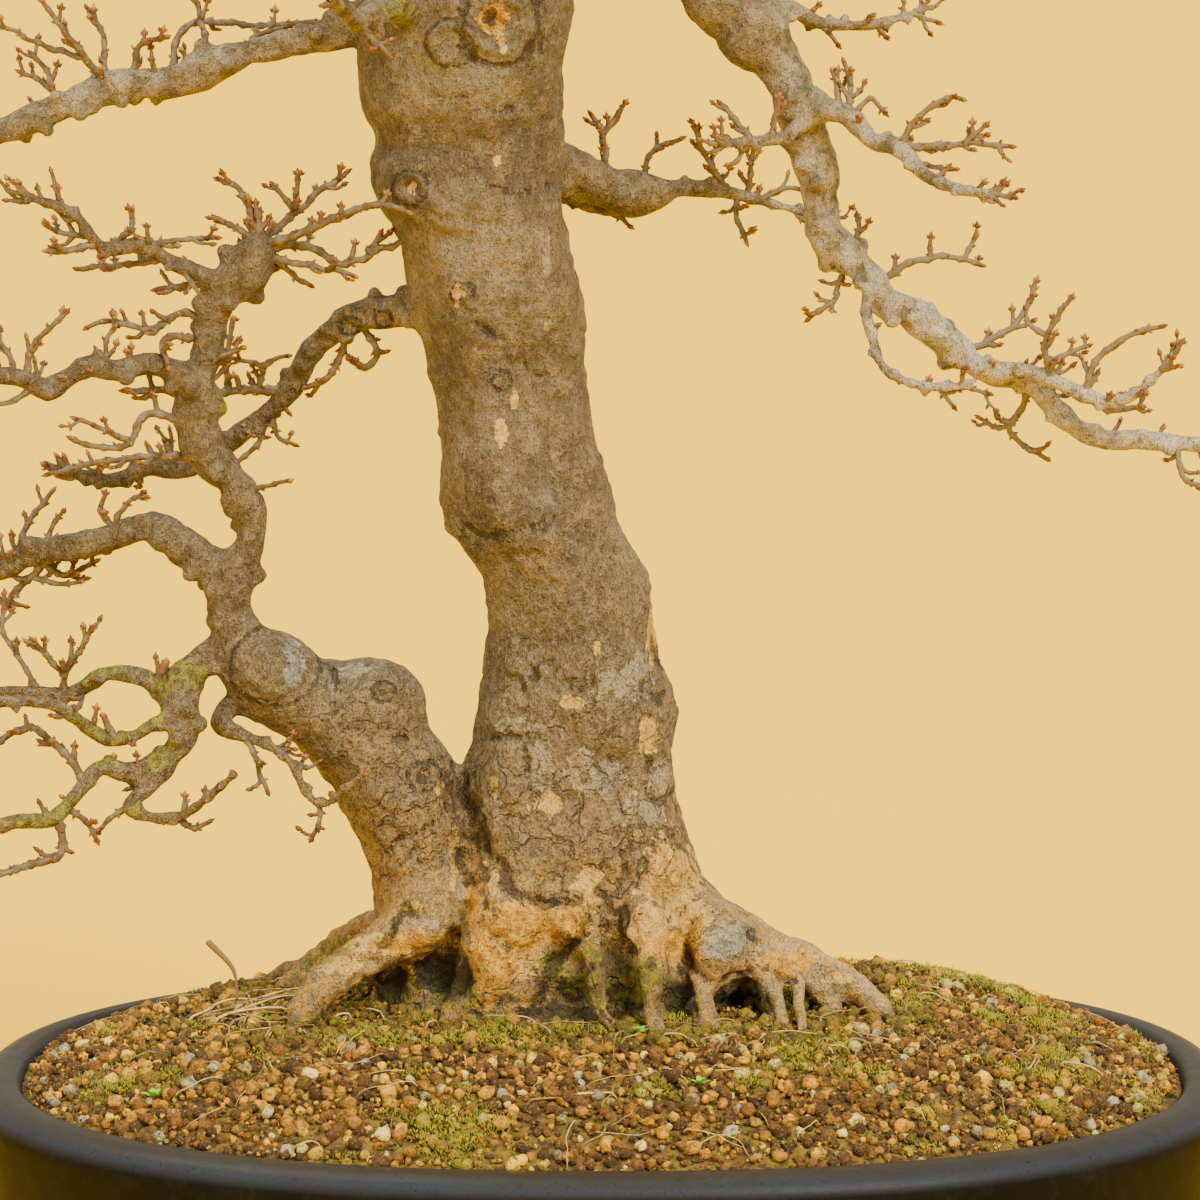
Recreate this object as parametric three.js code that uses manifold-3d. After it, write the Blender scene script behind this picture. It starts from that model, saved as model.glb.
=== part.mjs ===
// A trident maple bonsai in an oval pot, in millimetres, +Z up, -Y towards the viewer.
// The origin is on the table, under the middle of the pot.

import * as THREE from "three";
import Module from "manifold-3d";

const wasm = await Module();
wasm.setup();

// Driving dimensions of the pot
const LIP_LENGTH = 532;
const LIP_DEPTH = 404;
const LIP_WIDTH = 20;
const OVAL_POWER = 2.3;
const OVAL_SIDES = 52;
const POT_HEIGHT = 90;
const FOOT_HEIGHT = 8;
const FLOOR_TOP = 18;
const FOOT_SPAN = 26;
const FOOT_MIDDLES = [38, 142, 218, 322];
const FOOT_INSETS = [26, 46];
const FOOT_SINK = 3;
const FOOT_BATTER = 4;
const FOOT_STEPS = 6;
const DRAIN_RADIUS = 12.5;
const DRAIN_SIDES = 20;
const DRAIN_CUT = 40;
const DRAIN_OFFSET = 110;

// The pot's outside from under its floor to the lip, as inset from the lip's edge and height.
const OUTER_WALL = [
  [36, FOOT_HEIGHT], [22, FOOT_HEIGHT + 1.5], [14, FOOT_HEIGHT + 8], [2, POT_HEIGHT - 22],
  [0, POT_HEIGHT - 11], [1, POT_HEIGHT - 6], [4.5, POT_HEIGHT - 2.2], [10, POT_HEIGHT],
  [LIP_WIDTH - 2.5, POT_HEIGHT],
];

// The inner wall from the lip down, and the floor's edge.
const INNER_WALL = [[LIP_WIDTH, POT_HEIGHT - 2.5], [LIP_WIDTH + 8, FLOOR_TOP + 7]];
const FLOOR_EDGE = [LIP_WIDTH + 16, FLOOR_TOP];

// Driving dimensions of the drain screens and their wires
const GAP = 0.3;
const SCREEN_HOLES = 4;
const SCREEN_PITCH = 10;
const SCREEN_BAR = 3;
const SCREEN_THICK = 1.2;
const WIRE_RADIUS = 1;
const WIRE_BEND = 2.2;
const WIRE_SIDES = 6;
const WIRE_END = 0.3;
const WIRE_ROW = SCREEN_PITCH / 2;
const WIRE_LEG = SCREEN_PITCH / 2;
const WIRE_FOOT = 25;
const WIRE_ROOM = 1;

// Driving dimensions of the soil
const SOIL_EDGE = 86;
const MOUND_RISE = 34;
const MOUND_POWER = 3.3;
const GRAIN_STEP = 14;
const GRAIN_RISE = 2;
const GRAIN_STRAY = 4;
const GRAIN_DICE = 7;
const CROWN_LIFT = [0.6, 0.8];
const HOLLOW_DROP = [0.3, 0.5];
const SOIL_SPARE = 20;
const SOIL_REACH = 1.1;
const SOIL_ROOM = 60;
const HUMP = { x: 145, y: 75, spread: 45, rise: 4 };
const ROOT_CLEARANCE = 0.45;

// Driving dimensions of the tree
const TRUNK_SIDES = 14;
const ROOT_SIDES = 6;
const TRUNK_FOOT_DEPTH = 10;
const TRUNK_LEAN = 0.04;
const TRUNK_FOOT_X = -12;
const LEAN_START = 150;
const FLARE_TOP = 200;
const FLARE_HEIGHT = 80;
const TRUNK_FLATNESS = 0.92;
const FLARE_FLATNESS = 0.17;
const FLUTES = 5;
const FLUTE_DEPTH = 0.05;
const FLUTE_TWIST = 40;
const SHOULDER_RISE = 20;
const SHOULDER_SWAY = 0.25;
const SHOULDER_DEPTH = 0.35;
const SHOULDER_THICK = 0.55;
const ROOT_DIVE = 13;
const DIVE_REACH = 6;
const DIVE_THICK = 0.8;
const ROOT_TIP = 0.5;
const FAR_ROOT_CENTRE = [-8, 8];
const FAR_ROOT_DEPTH = 0.85;
const LUMP_SIDES = [8, 5];
const TWIG_SIDES = 3;
const BUD_LENGTH = 4;
const BUD_SWELL = 1.5;
const SWING = 0.45;
const SWING_WAVE = [1.7, 2.3];
const STEM_PARTS = 8;
const FIRST_DICE = 11;

// A far root's steps: share of its reach, height over the soil and share of its thickness.
const FAR_ROOT_STEPS = [[0.3, 24, 1.3], [0.55, 14, 1.1], [0.8, 3, 0.8], [1, -1, 0.55]];

// How a twig placed by rule leaves its limb, as shares of a turn's radius or of its length.
const SPRAY = {
  scatter: 1.6,
  rise: 0.45,
  spread: 0.5,
  along: 0.75,
  shortest: 0.75,
  vary: 0.5,
  shorten: 0.25,
  knee: 0.45,
  end: 0.6,
  lift: [0.5, 0.6],
  lean: 0.5,
  thickest: 2.4,
  thin: 0.55,
  taper: 0.8,
  tip: 1.2,
};

// Where a tube's first ring starts, and how far its blunt start bulges as a share of its radius.
const RING_START = new THREE.Vector3(0.31, -0.87, 0.23);
const TUBE_START = 0.3;

const COLOURS = {
  bark: 0x8a7a5f,
  soil: 0x6e4f2c,
  pot: 0x3a3431,
  screen: 0x1f2a24,
  wire: 0x8d8f90,
};

// The tree's points are read in the plane y = 0 as they show from the eye, and carried
// along their line of sight to their own depth.
const EYE = new THREE.Vector3(-0.84, -2374, 640);

function seen(x, z, y) {
  const far = 1 + y / -EYE.y;
  return new THREE.Vector3(EYE.x + (x - EYE.x) * far, y, EYE.z + (z - EYE.z) * far);
}

// A repeatable run of numbers from 0 to 1.
function dice(seed) {
  let state = seed;
  return () => {
    state = (Math.imul(state, 1664525) + 1013904223) >>> 0;
    return state / 4294967296;
  };
}

// The trunk's outline: seen height, left edge and right edge.
const TRUNK = [
  [88, -72, 56], [106, -81, 64], [122, -87, 68], [140, -80, 62], [151, -74, 52],
  [168, -65, 43], [184, -62, 38], [200, -59, 34], [222, -56, 30.5], [245, -52.7, 32],
  [262, -50, 26], [283, -48.5, 21.5], [300, -51, 18.8], [312, -58, 13], [323, -66, 8.5],
  [338, -68.8, 4], [360, -68.6, -3], [385, -72, -7], [402, -75, -7], [420, -80, -8],
  [433, -81.2, -11.5], [446, -86.5, -15], [460, -94, -16.7], [471, -95.5, -16.5],
  [483, -92.5, -16], [496, -98.5, -17], [512, -100, -16], [540, -99, -12], [562, -91, -14],
  [590, -79, -20], [635, -62, -24], [675, -49, -29], [715, -41, -34],
];

// Lumps and cut stubs: seen x, seen z, depth, and half sizes along x, y and z.
const LUMPS = [
  [-93, 248, -12, 17, 16, 15],
  [50, 138, -26, 14, 14, 13],
  [-42, 530, -34, 17, 10, 17],
  [-63, 525, -36, 8, 8, 8],
];

// Surface roots: depth at the trunk, then seen x, seen z and radius down to the soil.
const ROOTS = [
  [22, [[-84, 152, 9], [-97, 150, 7], [-108, 144, 6], [-118, 137, 5.5], [-128, 131, 5], [-140, 126, 4]]],
  [-22, [[-78, 154, 12], [-95, 140, 9], [-108, 132, 9], [-120, 121, 7], [-128, 112, 5.5], [-131, 104, 4]]],
  [-38, [[-93, 137, 4], [-97, 131, 3], [-94, 123, 2.4], [-91, 117, 2.2]]],
  [-34, [[-74, 150, 8], [-82, 135, 5.5], [-78, 126, 4.5], [-77, 117, 4]]],
  [-32, [[-40, 162, 15], [-45, 150, 14], [-48, 140, 12], [-50, 130, 11], [-57, 120, 8], [-62, 111, 6]]],
  [-40, [[-10, 150, 8], [-5, 138, 5], [-3, 125, 3.5], [0, 112, 3], [5, 105, 2.6]]],
  [-40, [[18, 150, 9], [20, 135, 6], [21, 120, 4], [23, 103, 3.5]]],
  [-18, [[46, 144, 13], [46, 130, 10], [42, 120, 6.5], [44, 107, 6]]],
  [-18, [[52, 144, 13], [64, 136, 9], [71, 127, 5.5], [72, 118, 4.5], [75, 109, 4]]],
  [-10, [[46, 148, 9], [64, 142, 6.5], [75, 135, 5], [88, 125, 4], [97, 114, 4]]],
  [-17, [[76, 134, 4], [83, 126, 3], [84, 115, 2.5], [85, 105, 2.5]]],
  [2, [
    [42, 156, 10], [60, 148, 8], [72, 141, 7], [85, 136, 6.5], [97, 130, 6], [113, 119, 5.5],
    [119, 112, 5],
  ]],
];

// Roots on the far side: direction in degrees, reach from the trunk's middle, and radius.
const FAR_ROOTS = [
  [18, 118, 9], [48, 96, 10], [78, 100, 8], [106, 92, 10], [134, 112, 9], [160, 136, 10],
];

// Limbs: name, depth at both ends, sides, then seen x, seen z and radius along each.
const LIMBS = [
  ["subtrunk", 6, -20, 10, [
    [-68, 120, 26], [-72, 150, 23], [-76, 175, 22], [-82, 200, 23], [-91, 219, 24], [-103, 235, 23],
    [-114, 243, 20], [-127, 249, 18], [-140, 258, 17.5], [-150, 269, 12], [-157, 285, 7.5],
  ]],
  ["leader", -20, -25, 6, [
    [-150, 269, 9], [-157, 285, 7.5], [-155, 300, 8.5], [-149, 310, 6.7], [-146.5, 320, 6.2],
    [-148.5, 330, 6.8], [-155, 340, 8], [-164, 350, 9], [-169, 360, 8], [-170.5, 370, 9.5],
    [-168, 380, 6.2], [-165.5, 390, 5.7], [-164, 400, 7], [-161, 412, 7.5], [-154, 422, 8],
    [-147, 430, 9], [-143, 437, 6.5], [-143, 443, 3],
  ]],
  ["leaderLeft", -25, -45, 5, [
    [-162, 412, 5], [-165, 425, 3.8], [-180, 432, 3.2], [-190, 439, 3], [-207, 437, 2.6],
    [-220, 452, 2.2], [-239, 459, 1.6],
  ]],
  ["middleLeft", -24, -60, 5, [
    [-168, 372, 7], [-172, 382, 5.5], [-188, 389, 5], [-203, 386, 4.7], [-214, 388, 4.4],
    [-225, 382, 4.2], [-232, 378, 4], [-242, 383, 3.8], [-253, 384, 3.5], [-268, 380, 3],
    [-282, 384, 2.6], [-295, 379, 2],
  ]],
  ["arch", -21, 14, 5, [
    [-155, 296, 8], [-163, 303, 7.5], [-177, 313, 6.8], [-190, 321, 6.5], [-205, 316, 6],
    [-222, 312, 5.6], [-238, 310, 5.2], [-253, 302, 4.6], [-266, 299, 4], [-281, 303, 3.2],
    [-294, 298, 2.4],
  ]],
  ["lowerStem", -18, -36, 6, [
    [-152, 262, 10], [-163, 266, 8], [-172, 260, 7], [-177, 251, 8], [-177, 241, 7], [-176, 232, 5.5],
    [-181, 224, 4.8], [-188, 217, 4.4],
  ]],
  ["lowerA", -24, -8, 4, [
    [-177, 250, 5], [-184, 249, 4.2], [-192, 256, 3.8], [-209, 258, 3.5], [-218, 252, 3.3],
    [-227, 249, 3.2], [-240, 250, 3], [-253, 250, 2.8], [-268, 252, 2.4], [-284, 248, 1.8],
  ]],
  ["lowerB", -32, -70, 4, [
    [-177, 240, 4], [-190, 236, 3], [-198, 231, 2.8], [-208, 230, 2.7], [-222, 239, 2.6],
    [-232, 245, 2.5], [-253, 246, 2.3], [-266, 241, 2], [-278, 243, 1.6],
  ]],
  ["lowerC", -36, -78, 4, [
    [-187, 218, 4.4], [-200, 216, 3.8], [-211, 218, 3.6], [-219, 210, 3.5], [-225, 203, 3.4],
    [-232, 196, 3.2], [-247, 195, 3], [-262, 192, 2.5], [-274, 197, 1.8],
  ]],
  ["lowerD", -36, -82, 4, [
    [-187, 218, 4], [-191, 210, 3.2], [-200, 201, 3], [-190, 196.5, 2.7], [-178, 197, 2.4],
    [-168, 204, 1.9], [-155, 215, 1.4],
  ]],
  ["lowerE", -16, -58, 4, [
    [-143, 246, 6], [-155, 245, 4.6], [-161, 237, 4.2], [-152, 232, 3.2], [-142, 228, 2.2],
    [-132, 221, 1.9], [-124, 206, 1.8], [-117, 202, 1.7], [-108, 209, 1.6], [-95, 220, 1.2],
  ]],
  ["behind", 4, 44, 5, [
    [-70, 412, 9], [-88, 411, 6.5], [-103, 408.5, 6.2], [-113, 402, 5.6], [-121, 395, 5.2],
    [-128, 382, 5], [-137, 371, 4.6], [-150, 361, 4.2], [-162, 351, 4], [-175, 345, 4],
    [-190, 345, 3.6], [-205, 340, 3.2], [-221, 343, 2.4],
  ]],
  ["topLeft", -6, -34, 6, [
    [-86, 536, 10], [-98, 532, 8], [-115, 525, 6.4], [-132, 522, 6], [-150, 517.5, 5.6],
    [-165, 511.5, 8], [-178, 506, 6.2], [-194, 506, 6.4], [-210, 502, 7.2], [-230, 494, 6],
    [-247, 487, 6.3], [-265, 482, 5], [-283, 474, 4], [-300, 471, 3], [-316, 465, 2],
  ]],
  ["topFront", -30, -128, 4, [
    [-78, 536, 7], [-92, 536, 5.5], [-101, 531, 4.4], [-104, 533, 3.4], [-112, 541, 2.2],
  ]],
  ["rightMain", 0, -24, 7, [
    [-34, 598, 15], [-12, 597, 15], [12, 582, 14], [34, 560, 13.5], [54, 535, 13], [70, 518, 12],
    [78, 505, 10], [83, 488, 9], [89, 471, 9], [91, 456, 7.8], [93, 443, 8.2], [103, 433, 7],
    [113, 425, 6], [117, 415, 6], [128, 411, 6.5], [143, 399, 7], [160, 386, 5.6],
    [175, 382, 4.5], [184, 377, 4.5], [190, 369, 4.8], [205, 358.5, 4.2], [222, 357, 3.6],
    [250, 355, 3.5], [266, 352, 3.2], [282, 356, 2.8], [302, 350, 2.3], [322, 353, 1.8],
  ]],
  ["rightUpper", -22, -46, 4, [
    [158, 387, 4.5], [172, 386, 4], [186, 383, 3.8], [202, 376, 3.2], [215, 373, 2.6],
    [225, 378, 2.2], [235, 388, 1.6],
  ]],
  ["rightHanging", -18, -52, 4, [
    [103, 431, 4], [111, 420, 2.8], [110, 411, 2.5], [113, 400, 2.3], [117, 388, 2.1],
    [129, 381, 2], [150, 380, 1.8], [165, 389, 1.2],
  ]],
  ["rightLateral", -14, -66, 4, [
    [80, 497, 7], [93, 495, 5], [103, 492, 4.4], [112, 482, 3.8], [124, 479, 3.4], [134, 468, 3],
    [148, 462, 2.4], [161, 460, 1.6],
  ]],
  ["rightFront", -14, -48, 4, [
    [90, 499, 4], [86, 492, 3.2], [76, 484, 3], [64, 482, 2.6], [51, 481, 1.6],
  ]],
  ["rightTop", -8, 30, 4, [
    [66, 530, 6], [76, 537, 3.6], [90, 531, 2.8], [110, 530, 2.2], [131, 535.5, 1.5],
  ]],
  ["middleRight", 12, 58, 5, [
    [-26, 474, 11], [-12, 469, 9.5], [3, 462, 10], [14, 460, 9.5], [21, 460, 7], [29, 462, 4.4],
    [45, 462, 3.5], [60, 459, 2.6], [74, 455, 2], [90, 451, 1.5],
  ]],
  ["middleGrey", 14, 40, 4, [
    [-38, 459, 4], [-12, 458, 2.8], [-8, 455, 2.5], [6, 452, 1.8],
  ]],
  ["crownLeftLow", 0, 92, 5, [
    [-66, 598, 11], [-96, 612, 8.5], [-130, 616, 7.5], [-166, 610, 6.5], [-204, 612, 5.2],
    [-240, 604, 4], [-276, 604, 2.6],
  ]],
  ["crownLeftMiddle", -10, -84, 5, [
    [-54, 640, 10], [-88, 664, 7.5], [-124, 672, 6.5], [-160, 668, 5.4], [-196, 670, 4.2],
    [-232, 662, 2.6],
  ]],
  ["crownLeftHigh", -12, 44, 4, [
    [-46, 684, 7], [-76, 706, 5.5], [-108, 714, 4.6], [-140, 712, 3.6], [-170, 716, 2.2],
  ]],
  ["crownRightLow", -6, 84, 5, [
    [-32, 634, 11], [0, 652, 8.5], [38, 656, 7.5], [78, 648, 6.6], [120, 650, 5.4],
    [160, 638, 4.2], [204, 638, 2.8],
  ]],
  ["crownRightMiddle", -12, -76, 5, [
    [-36, 668, 9], [-6, 690, 6.6], [30, 698, 5.8], [70, 692, 4.8], [108, 692, 3.8], [144, 682, 2.4],
  ]],
  ["farLow", 20, 158, 5, [
    [-56, 476, 10], [-62, 492, 8], [-52, 506, 6.6], [-64, 518, 5.2], [-56, 528, 3.8], [-62, 538, 2.4],
  ]],
  ["farMiddle", 8, 168, 5, [
    [-44, 566, 11], [-18, 584, 8], [8, 592, 6.8], [36, 602, 5.4], [56, 604, 4], [82, 612, 2.4],
  ]],
  ["farHigh", 0, 150, 5, [
    [-52, 618, 10], [-84, 640, 7.4], [-104, 646, 6], [-128, 658, 4.6], [-150, 660, 2.6],
  ]],
  ["farTop", -8, 116, 4, [
    [-40, 660, 8], [-22, 682, 6], [-14, 694, 4.6], [6, 706, 3.4], [16, 708, 2.2],
  ]],
  ["nearLow", -30, -146, 4, [
    [-50, 604, 9], [-74, 626, 6.6], [-82, 634, 5.4], [-106, 644, 4], [-116, 646, 2.4],
  ]],
  ["nearHigh", -26, -132, 4, [
    [-42, 646, 8], [-16, 670, 5.8], [-2, 678, 4.6], [22, 688, 3.4], [34, 688, 2.2],
  ]],
  ["apexLeft", -13, -40, 4, [
    [-40, 704, 6.5], [-50, 724, 5], [-66, 738, 3.8], [-82, 742, 2.4],
  ]],
  ["apexMiddle", -13, 6, 4, [
    [-38, 706, 6.5], [-34, 730, 4.8], [-42, 748, 3.4], [-38, 762, 2],
  ]],
  ["apexRight", -13, 30, 4, [
    [-37, 704, 6.5], [-18, 722, 4.8], [2, 734, 3.6], [18, 732, 2.2],
  ]],
];

// Twigs seen on the named limb: radius at both ends, then seen x and seen z along each.
const TWIGS = [
  ["leader", 2.4, 1.3, [[-143, 438], [-122, 445], [-104, 453.5], [-92, 455.5], [-80, 452]]],
  ["leader", 2.2, 1.3, [[-144, 440], [-130, 450], [-117, 461], [-106, 469]]],
  ["leader", 1.6, 1.2, [[-127, 451], [-126.5, 469]]],
  ["leader", 2, 1.2, [[-143, 443], [-151, 462], [-160, 466]]],
  ["leader", 2.4, 1.4, [[-140, 437], [-122, 438], [-110, 431], [-98, 434], [-92, 444]]],
  ["leader", 1.8, 1.2, [[-98, 436], [-80, 441], [-64, 446]]],
  ["leader", 2, 1.2, [[-163, 406], [-175, 410], [-187, 404], [-208, 407], [-215, 404]]],
  ["leader", 2, 1.2, [[-156, 424], [-170, 422], [-186, 420]]],
  ["leader", 2.2, 1.3, [[-165, 400], [-183, 399], [-181, 388]]],
  ["leader", 2.4, 1.3, [[-169, 375], [-186, 378], [-200, 378]]],
  ["leader", 2.2, 1.3, [[-172, 364], [-190, 368], [-199, 355], [-212, 354], [-222, 358]]],
  ["leader", 2, 1.2, [[-164, 348], [-185, 350], [-210, 348], [-232, 342]]],
  ["leaderLeft", 1.6, 1.2, [[-207, 438], [-197, 445], [-195, 453]]],
  ["leaderLeft", 1.6, 1.2, [[-212, 442], [-225, 444], [-231, 447]]],
  ["leaderLeft", 2, 1.4, [[-209, 438], [-222, 437], [-231, 436.5]]],
  ["leaderLeft", 1.8, 1.2, [[-182, 433], [-200, 430.5], [-218, 429]]],
  ["middleLeft", 1.8, 1.2, [[-241, 383], [-238, 396], [-223, 411]]],
  ["middleLeft", 1.6, 1.2, [[-238, 380], [-247, 373], [-254, 372]]],
  ["arch", 1.8, 1.2, [[-201, 318], [-210, 326], [-208, 335]]],
  ["arch", 1.8, 1.2, [[-247, 306], [-240, 322], [-230, 336]]],
  ["arch", 2.4, 1.4, [[-231, 311], [-236, 303], [-247, 293], [-249, 286]]],
  ["arch", 1.6, 1.2, [[-236, 306], [-226, 300], [-212, 306]]],
  ["lowerA", 2.8, 2.2, [[-187, 252], [-184, 263]]],
  ["lowerA", 1.8, 1.2, [[-227, 249], [-227, 258], [-240, 272]]],
  ["lowerA", 1.6, 1.2, [[-227, 257], [-221, 266], [-214, 278]]],
  ["lowerA", 1.4, 1.1, [[-237, 250], [-246, 266], [-252, 277], [-251, 292]]],
  ["lowerC", 2.2, 1.4, [[-218, 211], [-227, 224], [-241, 235], [-254, 230]]],
  ["lowerC", 2.2, 1.5, [[-230, 197], [-229, 181], [-243, 176], [-258, 172], [-270, 176]]],
  ["lowerC", 1.6, 1.2, [[-226, 201], [-216, 192], [-213, 187]]],
  ["lowerD", 1.5, 1.2, [[-180, 197], [-172, 192], [-166, 195]]],
  ["lowerE", 1.6, 1.2, [[-152, 232], [-146, 223], [-144, 214], [-141, 207]]],
  ["subtrunk", 1.8, 1.2, [[-132, 246], [-128, 240], [-124, 250], [-117, 260]]],
  ["behind", 2.6, 1.8, [[-131, 378], [-148, 378], [-164, 377]]],
  ["behind", 1.6, 1.2, [[-156, 378], [-157, 390], [-154, 408]]],
  ["behind", 2, 1.4, [[-109, 403], [-108, 396], [-115, 383], [-124, 379]]],
  ["behind", 2, 1.4, [[-102, 406], [-94, 394], [-99, 387], [-105, 392]]],
  ["behind", 1.6, 1.2, [[-139, 369], [-145, 355], [-155, 346]]],
  ["topLeft", 2, 1.2, [[-205, 506], [-213, 515], [-220, 524], [-232, 540]]],
  ["topLeft", 1.6, 1.2, [[-206, 508], [-206, 524], [-213, 537]]],
  ["topLeft", 1.8, 1.2, [[-196, 508], [-191, 522], [-180, 525]]],
  ["topLeft", 1.6, 1.2, [[-226, 498], [-231, 511], [-237, 518]]],
  ["topLeft", 1.8, 1.2, [[-164, 515], [-165, 526], [-168, 542]]],
  ["topLeft", 1.8, 1.2, [[-180, 508], [-172, 529], [-140, 530], [-108, 532]]],
  ["topFront", 1.6, 1.2, [[-101, 530], [-95, 524], [-88, 517]]],
  ["rightMain", 2, 1.2, [[150, 393], [162, 399], [175, 409], [181, 424]]],
  ["rightMain", 1.8, 1.2, [[178, 380], [175, 370], [170, 361], [186, 349]]],
  ["rightMain", 2, 1.2, [[118, 424], [126, 430], [143, 434], [158, 430]]],
  ["rightMain", 1.6, 1.2, [[100, 434], [97, 417], [86, 408]]],
  ["rightMain", 1.6, 1.2, [[102, 434], [107, 444], [106, 451]]],
  ["rightMain", 1.6, 1.2, [[238, 356], [243, 342], [252, 337]]],
  ["rightUpper", 1.8, 1.2, [[188, 382], [185, 398], [195, 417]]],
  ["rightUpper", 1.8, 1.2, [[203, 377], [207, 391], [220, 401], [233, 405]]],
  ["rightUpper", 1.6, 1.2, [[200, 377], [210, 370], [226, 371]]],
  ["rightLateral", 2, 1.2, [[122, 480], [138, 480], [155, 481], [170, 480]]],
  ["rightLateral", 1.8, 1.2, [[124, 479], [130, 491], [144, 500], [150, 499]]],
  ["rightLateral", 1.8, 1.2, [[98, 494], [98, 503], [95, 511]]],
  ["rightLateral", 1.6, 1.2, [[104, 492], [103, 505], [100, 515]]],
  ["rightFront", 1.6, 1.2, [[62, 482], [55, 491], [49, 498]]],
  ["middleRight", 2.2, 1.3, [[1, 464], [0, 485], [-5, 493]]],
  ["middleRight", 1.6, 1.2, [[16, 462], [20, 477], [33, 483]]],
  ["middleRight", 1.6, 1.2, [[52, 461], [45, 473], [37, 490]]],
  ["middleRight", 1.6, 1.2, [[60, 460], [63, 479]]],
  ["middleRight", 1.6, 1.2, [[57, 460], [56, 450], [60, 440]]],
];

// Twigs placed by rule on limbs that the eye doesn't reach: limb, first share of its length
// that bears them, number, and length.
const SPRAYS = [
  ["topLeft", 0.8, 2, 30], ["middleLeft", 0.72, 2, 24], ["arch", 0.74, 2, 24],
  ["lowerA", 0.72, 1, 20], ["lowerB", 0.72, 1, 20], ["lowerC", 0.72, 1, 18],
  ["rightMain", 0.86, 2, 28], ["crownLeftLow", 0.25, 4, 40], ["crownLeftMiddle", 0.25, 4, 38],
  ["crownLeftHigh", 0.2, 3, 34], ["crownRightLow", 0.25, 4, 40], ["crownRightMiddle", 0.2, 4, 36],
  ["farLow", 0.35, 2, 32], ["farMiddle", 0.3, 3, 36], ["farHigh", 0.3, 3, 36], ["farTop", 0.3, 2, 32],
  ["nearLow", 0.35, 2, 32], ["nearHigh", 0.3, 2, 32],
  ["apexLeft", 0.3, 1, 30], ["apexMiddle", 0.3, 1, 26], ["apexRight", 0.3, 1, 28],
];

// Solids from rings of points

// A closed solid skinned over rings of equal count, closed by a fan to a point at each end.
// The rings run anticlockwise about the way they follow each other.
function skin(rings, first, last) {
  const count = rings[0].length;
  const points = [...rings.flat(), first, last];
  const start = points.length - 2;
  const end = points.length - 1;
  const triangles = [];
  for (let i = 0; i < rings.length - 1; i++) {
    for (let k = 0; k < count; k++) {
      const a = i * count + k;
      const b = i * count + ((k + 1) % count);
      triangles.push(a, b, b + count, a, b + count, a + count);
    }
  }
  const top = (rings.length - 1) * count;
  for (let k = 0; k < count; k++) {
    const next = (k + 1) % count;
    triangles.push(start, next, k, end, top + k, top + next);
  }
  return solid(points, triangles);
}

function solid(points, triangles) {
  const vertProperties = new Float32Array(points.flatMap((p) => [p.x, p.y, p.z]));
  const triVerts = new Uint32Array(triangles);
  return new wasm.Manifold(new wasm.Mesh({ numProp: 3, vertProperties, triVerts }));
}

function middleOf(ring) {
  return ring.reduce((sum, p) => sum.add(p), new THREE.Vector3()).divideScalar(ring.length);
}

// The biggest body of a solid: loose scraps and sealed hollows go.
function biggest(whole) {
  return whole.decompose().reduce((a, b) => (b.volume() > a.volume() ? b : a));
}

// The direction of travel at each point of a path.
function directions(points) {
  return points.map((p, i) => {
    const before = points[Math.max(i - 1, 0)];
    const after = points[Math.min(i + 1, points.length - 1)];
    const into = p.clone().sub(before).normalize();
    const out = after.clone().sub(p).normalize();
    return into.add(out).normalize();
  });
}

// A tube through points with a radius at each; the tip runs on past the last point.
function tube(points, radii, sides, tip) {
  const along = directions(points);
  let side = RING_START;
  const rings = points.map((p, i) => {
    side = side.clone().projectOnPlane(along[i]).normalize();
    const up = along[i].clone().cross(side);
    return Array.from({ length: sides }, (_, k) => {
      const turn = (2 * Math.PI * k) / sides;
      return p.clone()
        .addScaledVector(side, radii[i] * Math.cos(turn))
        .addScaledVector(up, radii[i] * Math.sin(turn));
    });
  });
  const last = points.length - 1;
  const first = points[0].clone().addScaledVector(along[0], -TUBE_START * radii[0]);
  const end = points[last].clone().addScaledVector(along[last], tip);
  return skin(rings, first, end);
}

// The pot

const LIP_HALF = [LIP_LENGTH / 2, LIP_DEPTH / 2];

// A level ring of the pot's oval, moved in by an inset.
function oval(inset, z) {
  const power = 2 / OVAL_POWER;
  return Array.from({ length: OVAL_SIDES }, (_, k) => {
    const turn = (2 * Math.PI * k) / OVAL_SIDES;
    const c = Math.cos(turn);
    const s = Math.sin(turn);
    return new THREE.Vector3(
      (LIP_HALF[0] - inset) * Math.sign(c) * Math.abs(c) ** power,
      (LIP_HALF[1] - inset) * Math.sign(s) * Math.abs(s) ** power,
      z,
    );
  });
}

function pot() {
  const profile = [...OUTER_WALL, ...INNER_WALL, FLOOR_EDGE];
  const rings = profile.map(([inset, z]) => oval(inset, z));
  let body = skin(rings, new THREE.Vector3(0, 0, FOOT_HEIGHT), new THREE.Vector3(0, 0, FLOOR_TOP));
  for (const middle of FOOT_MIDDLES) body = body.add(foot(middle));
  for (const x of [-DRAIN_OFFSET, DRAIN_OFFSET]) body = body.subtract(drainHole(x));
  return body;
}

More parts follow.
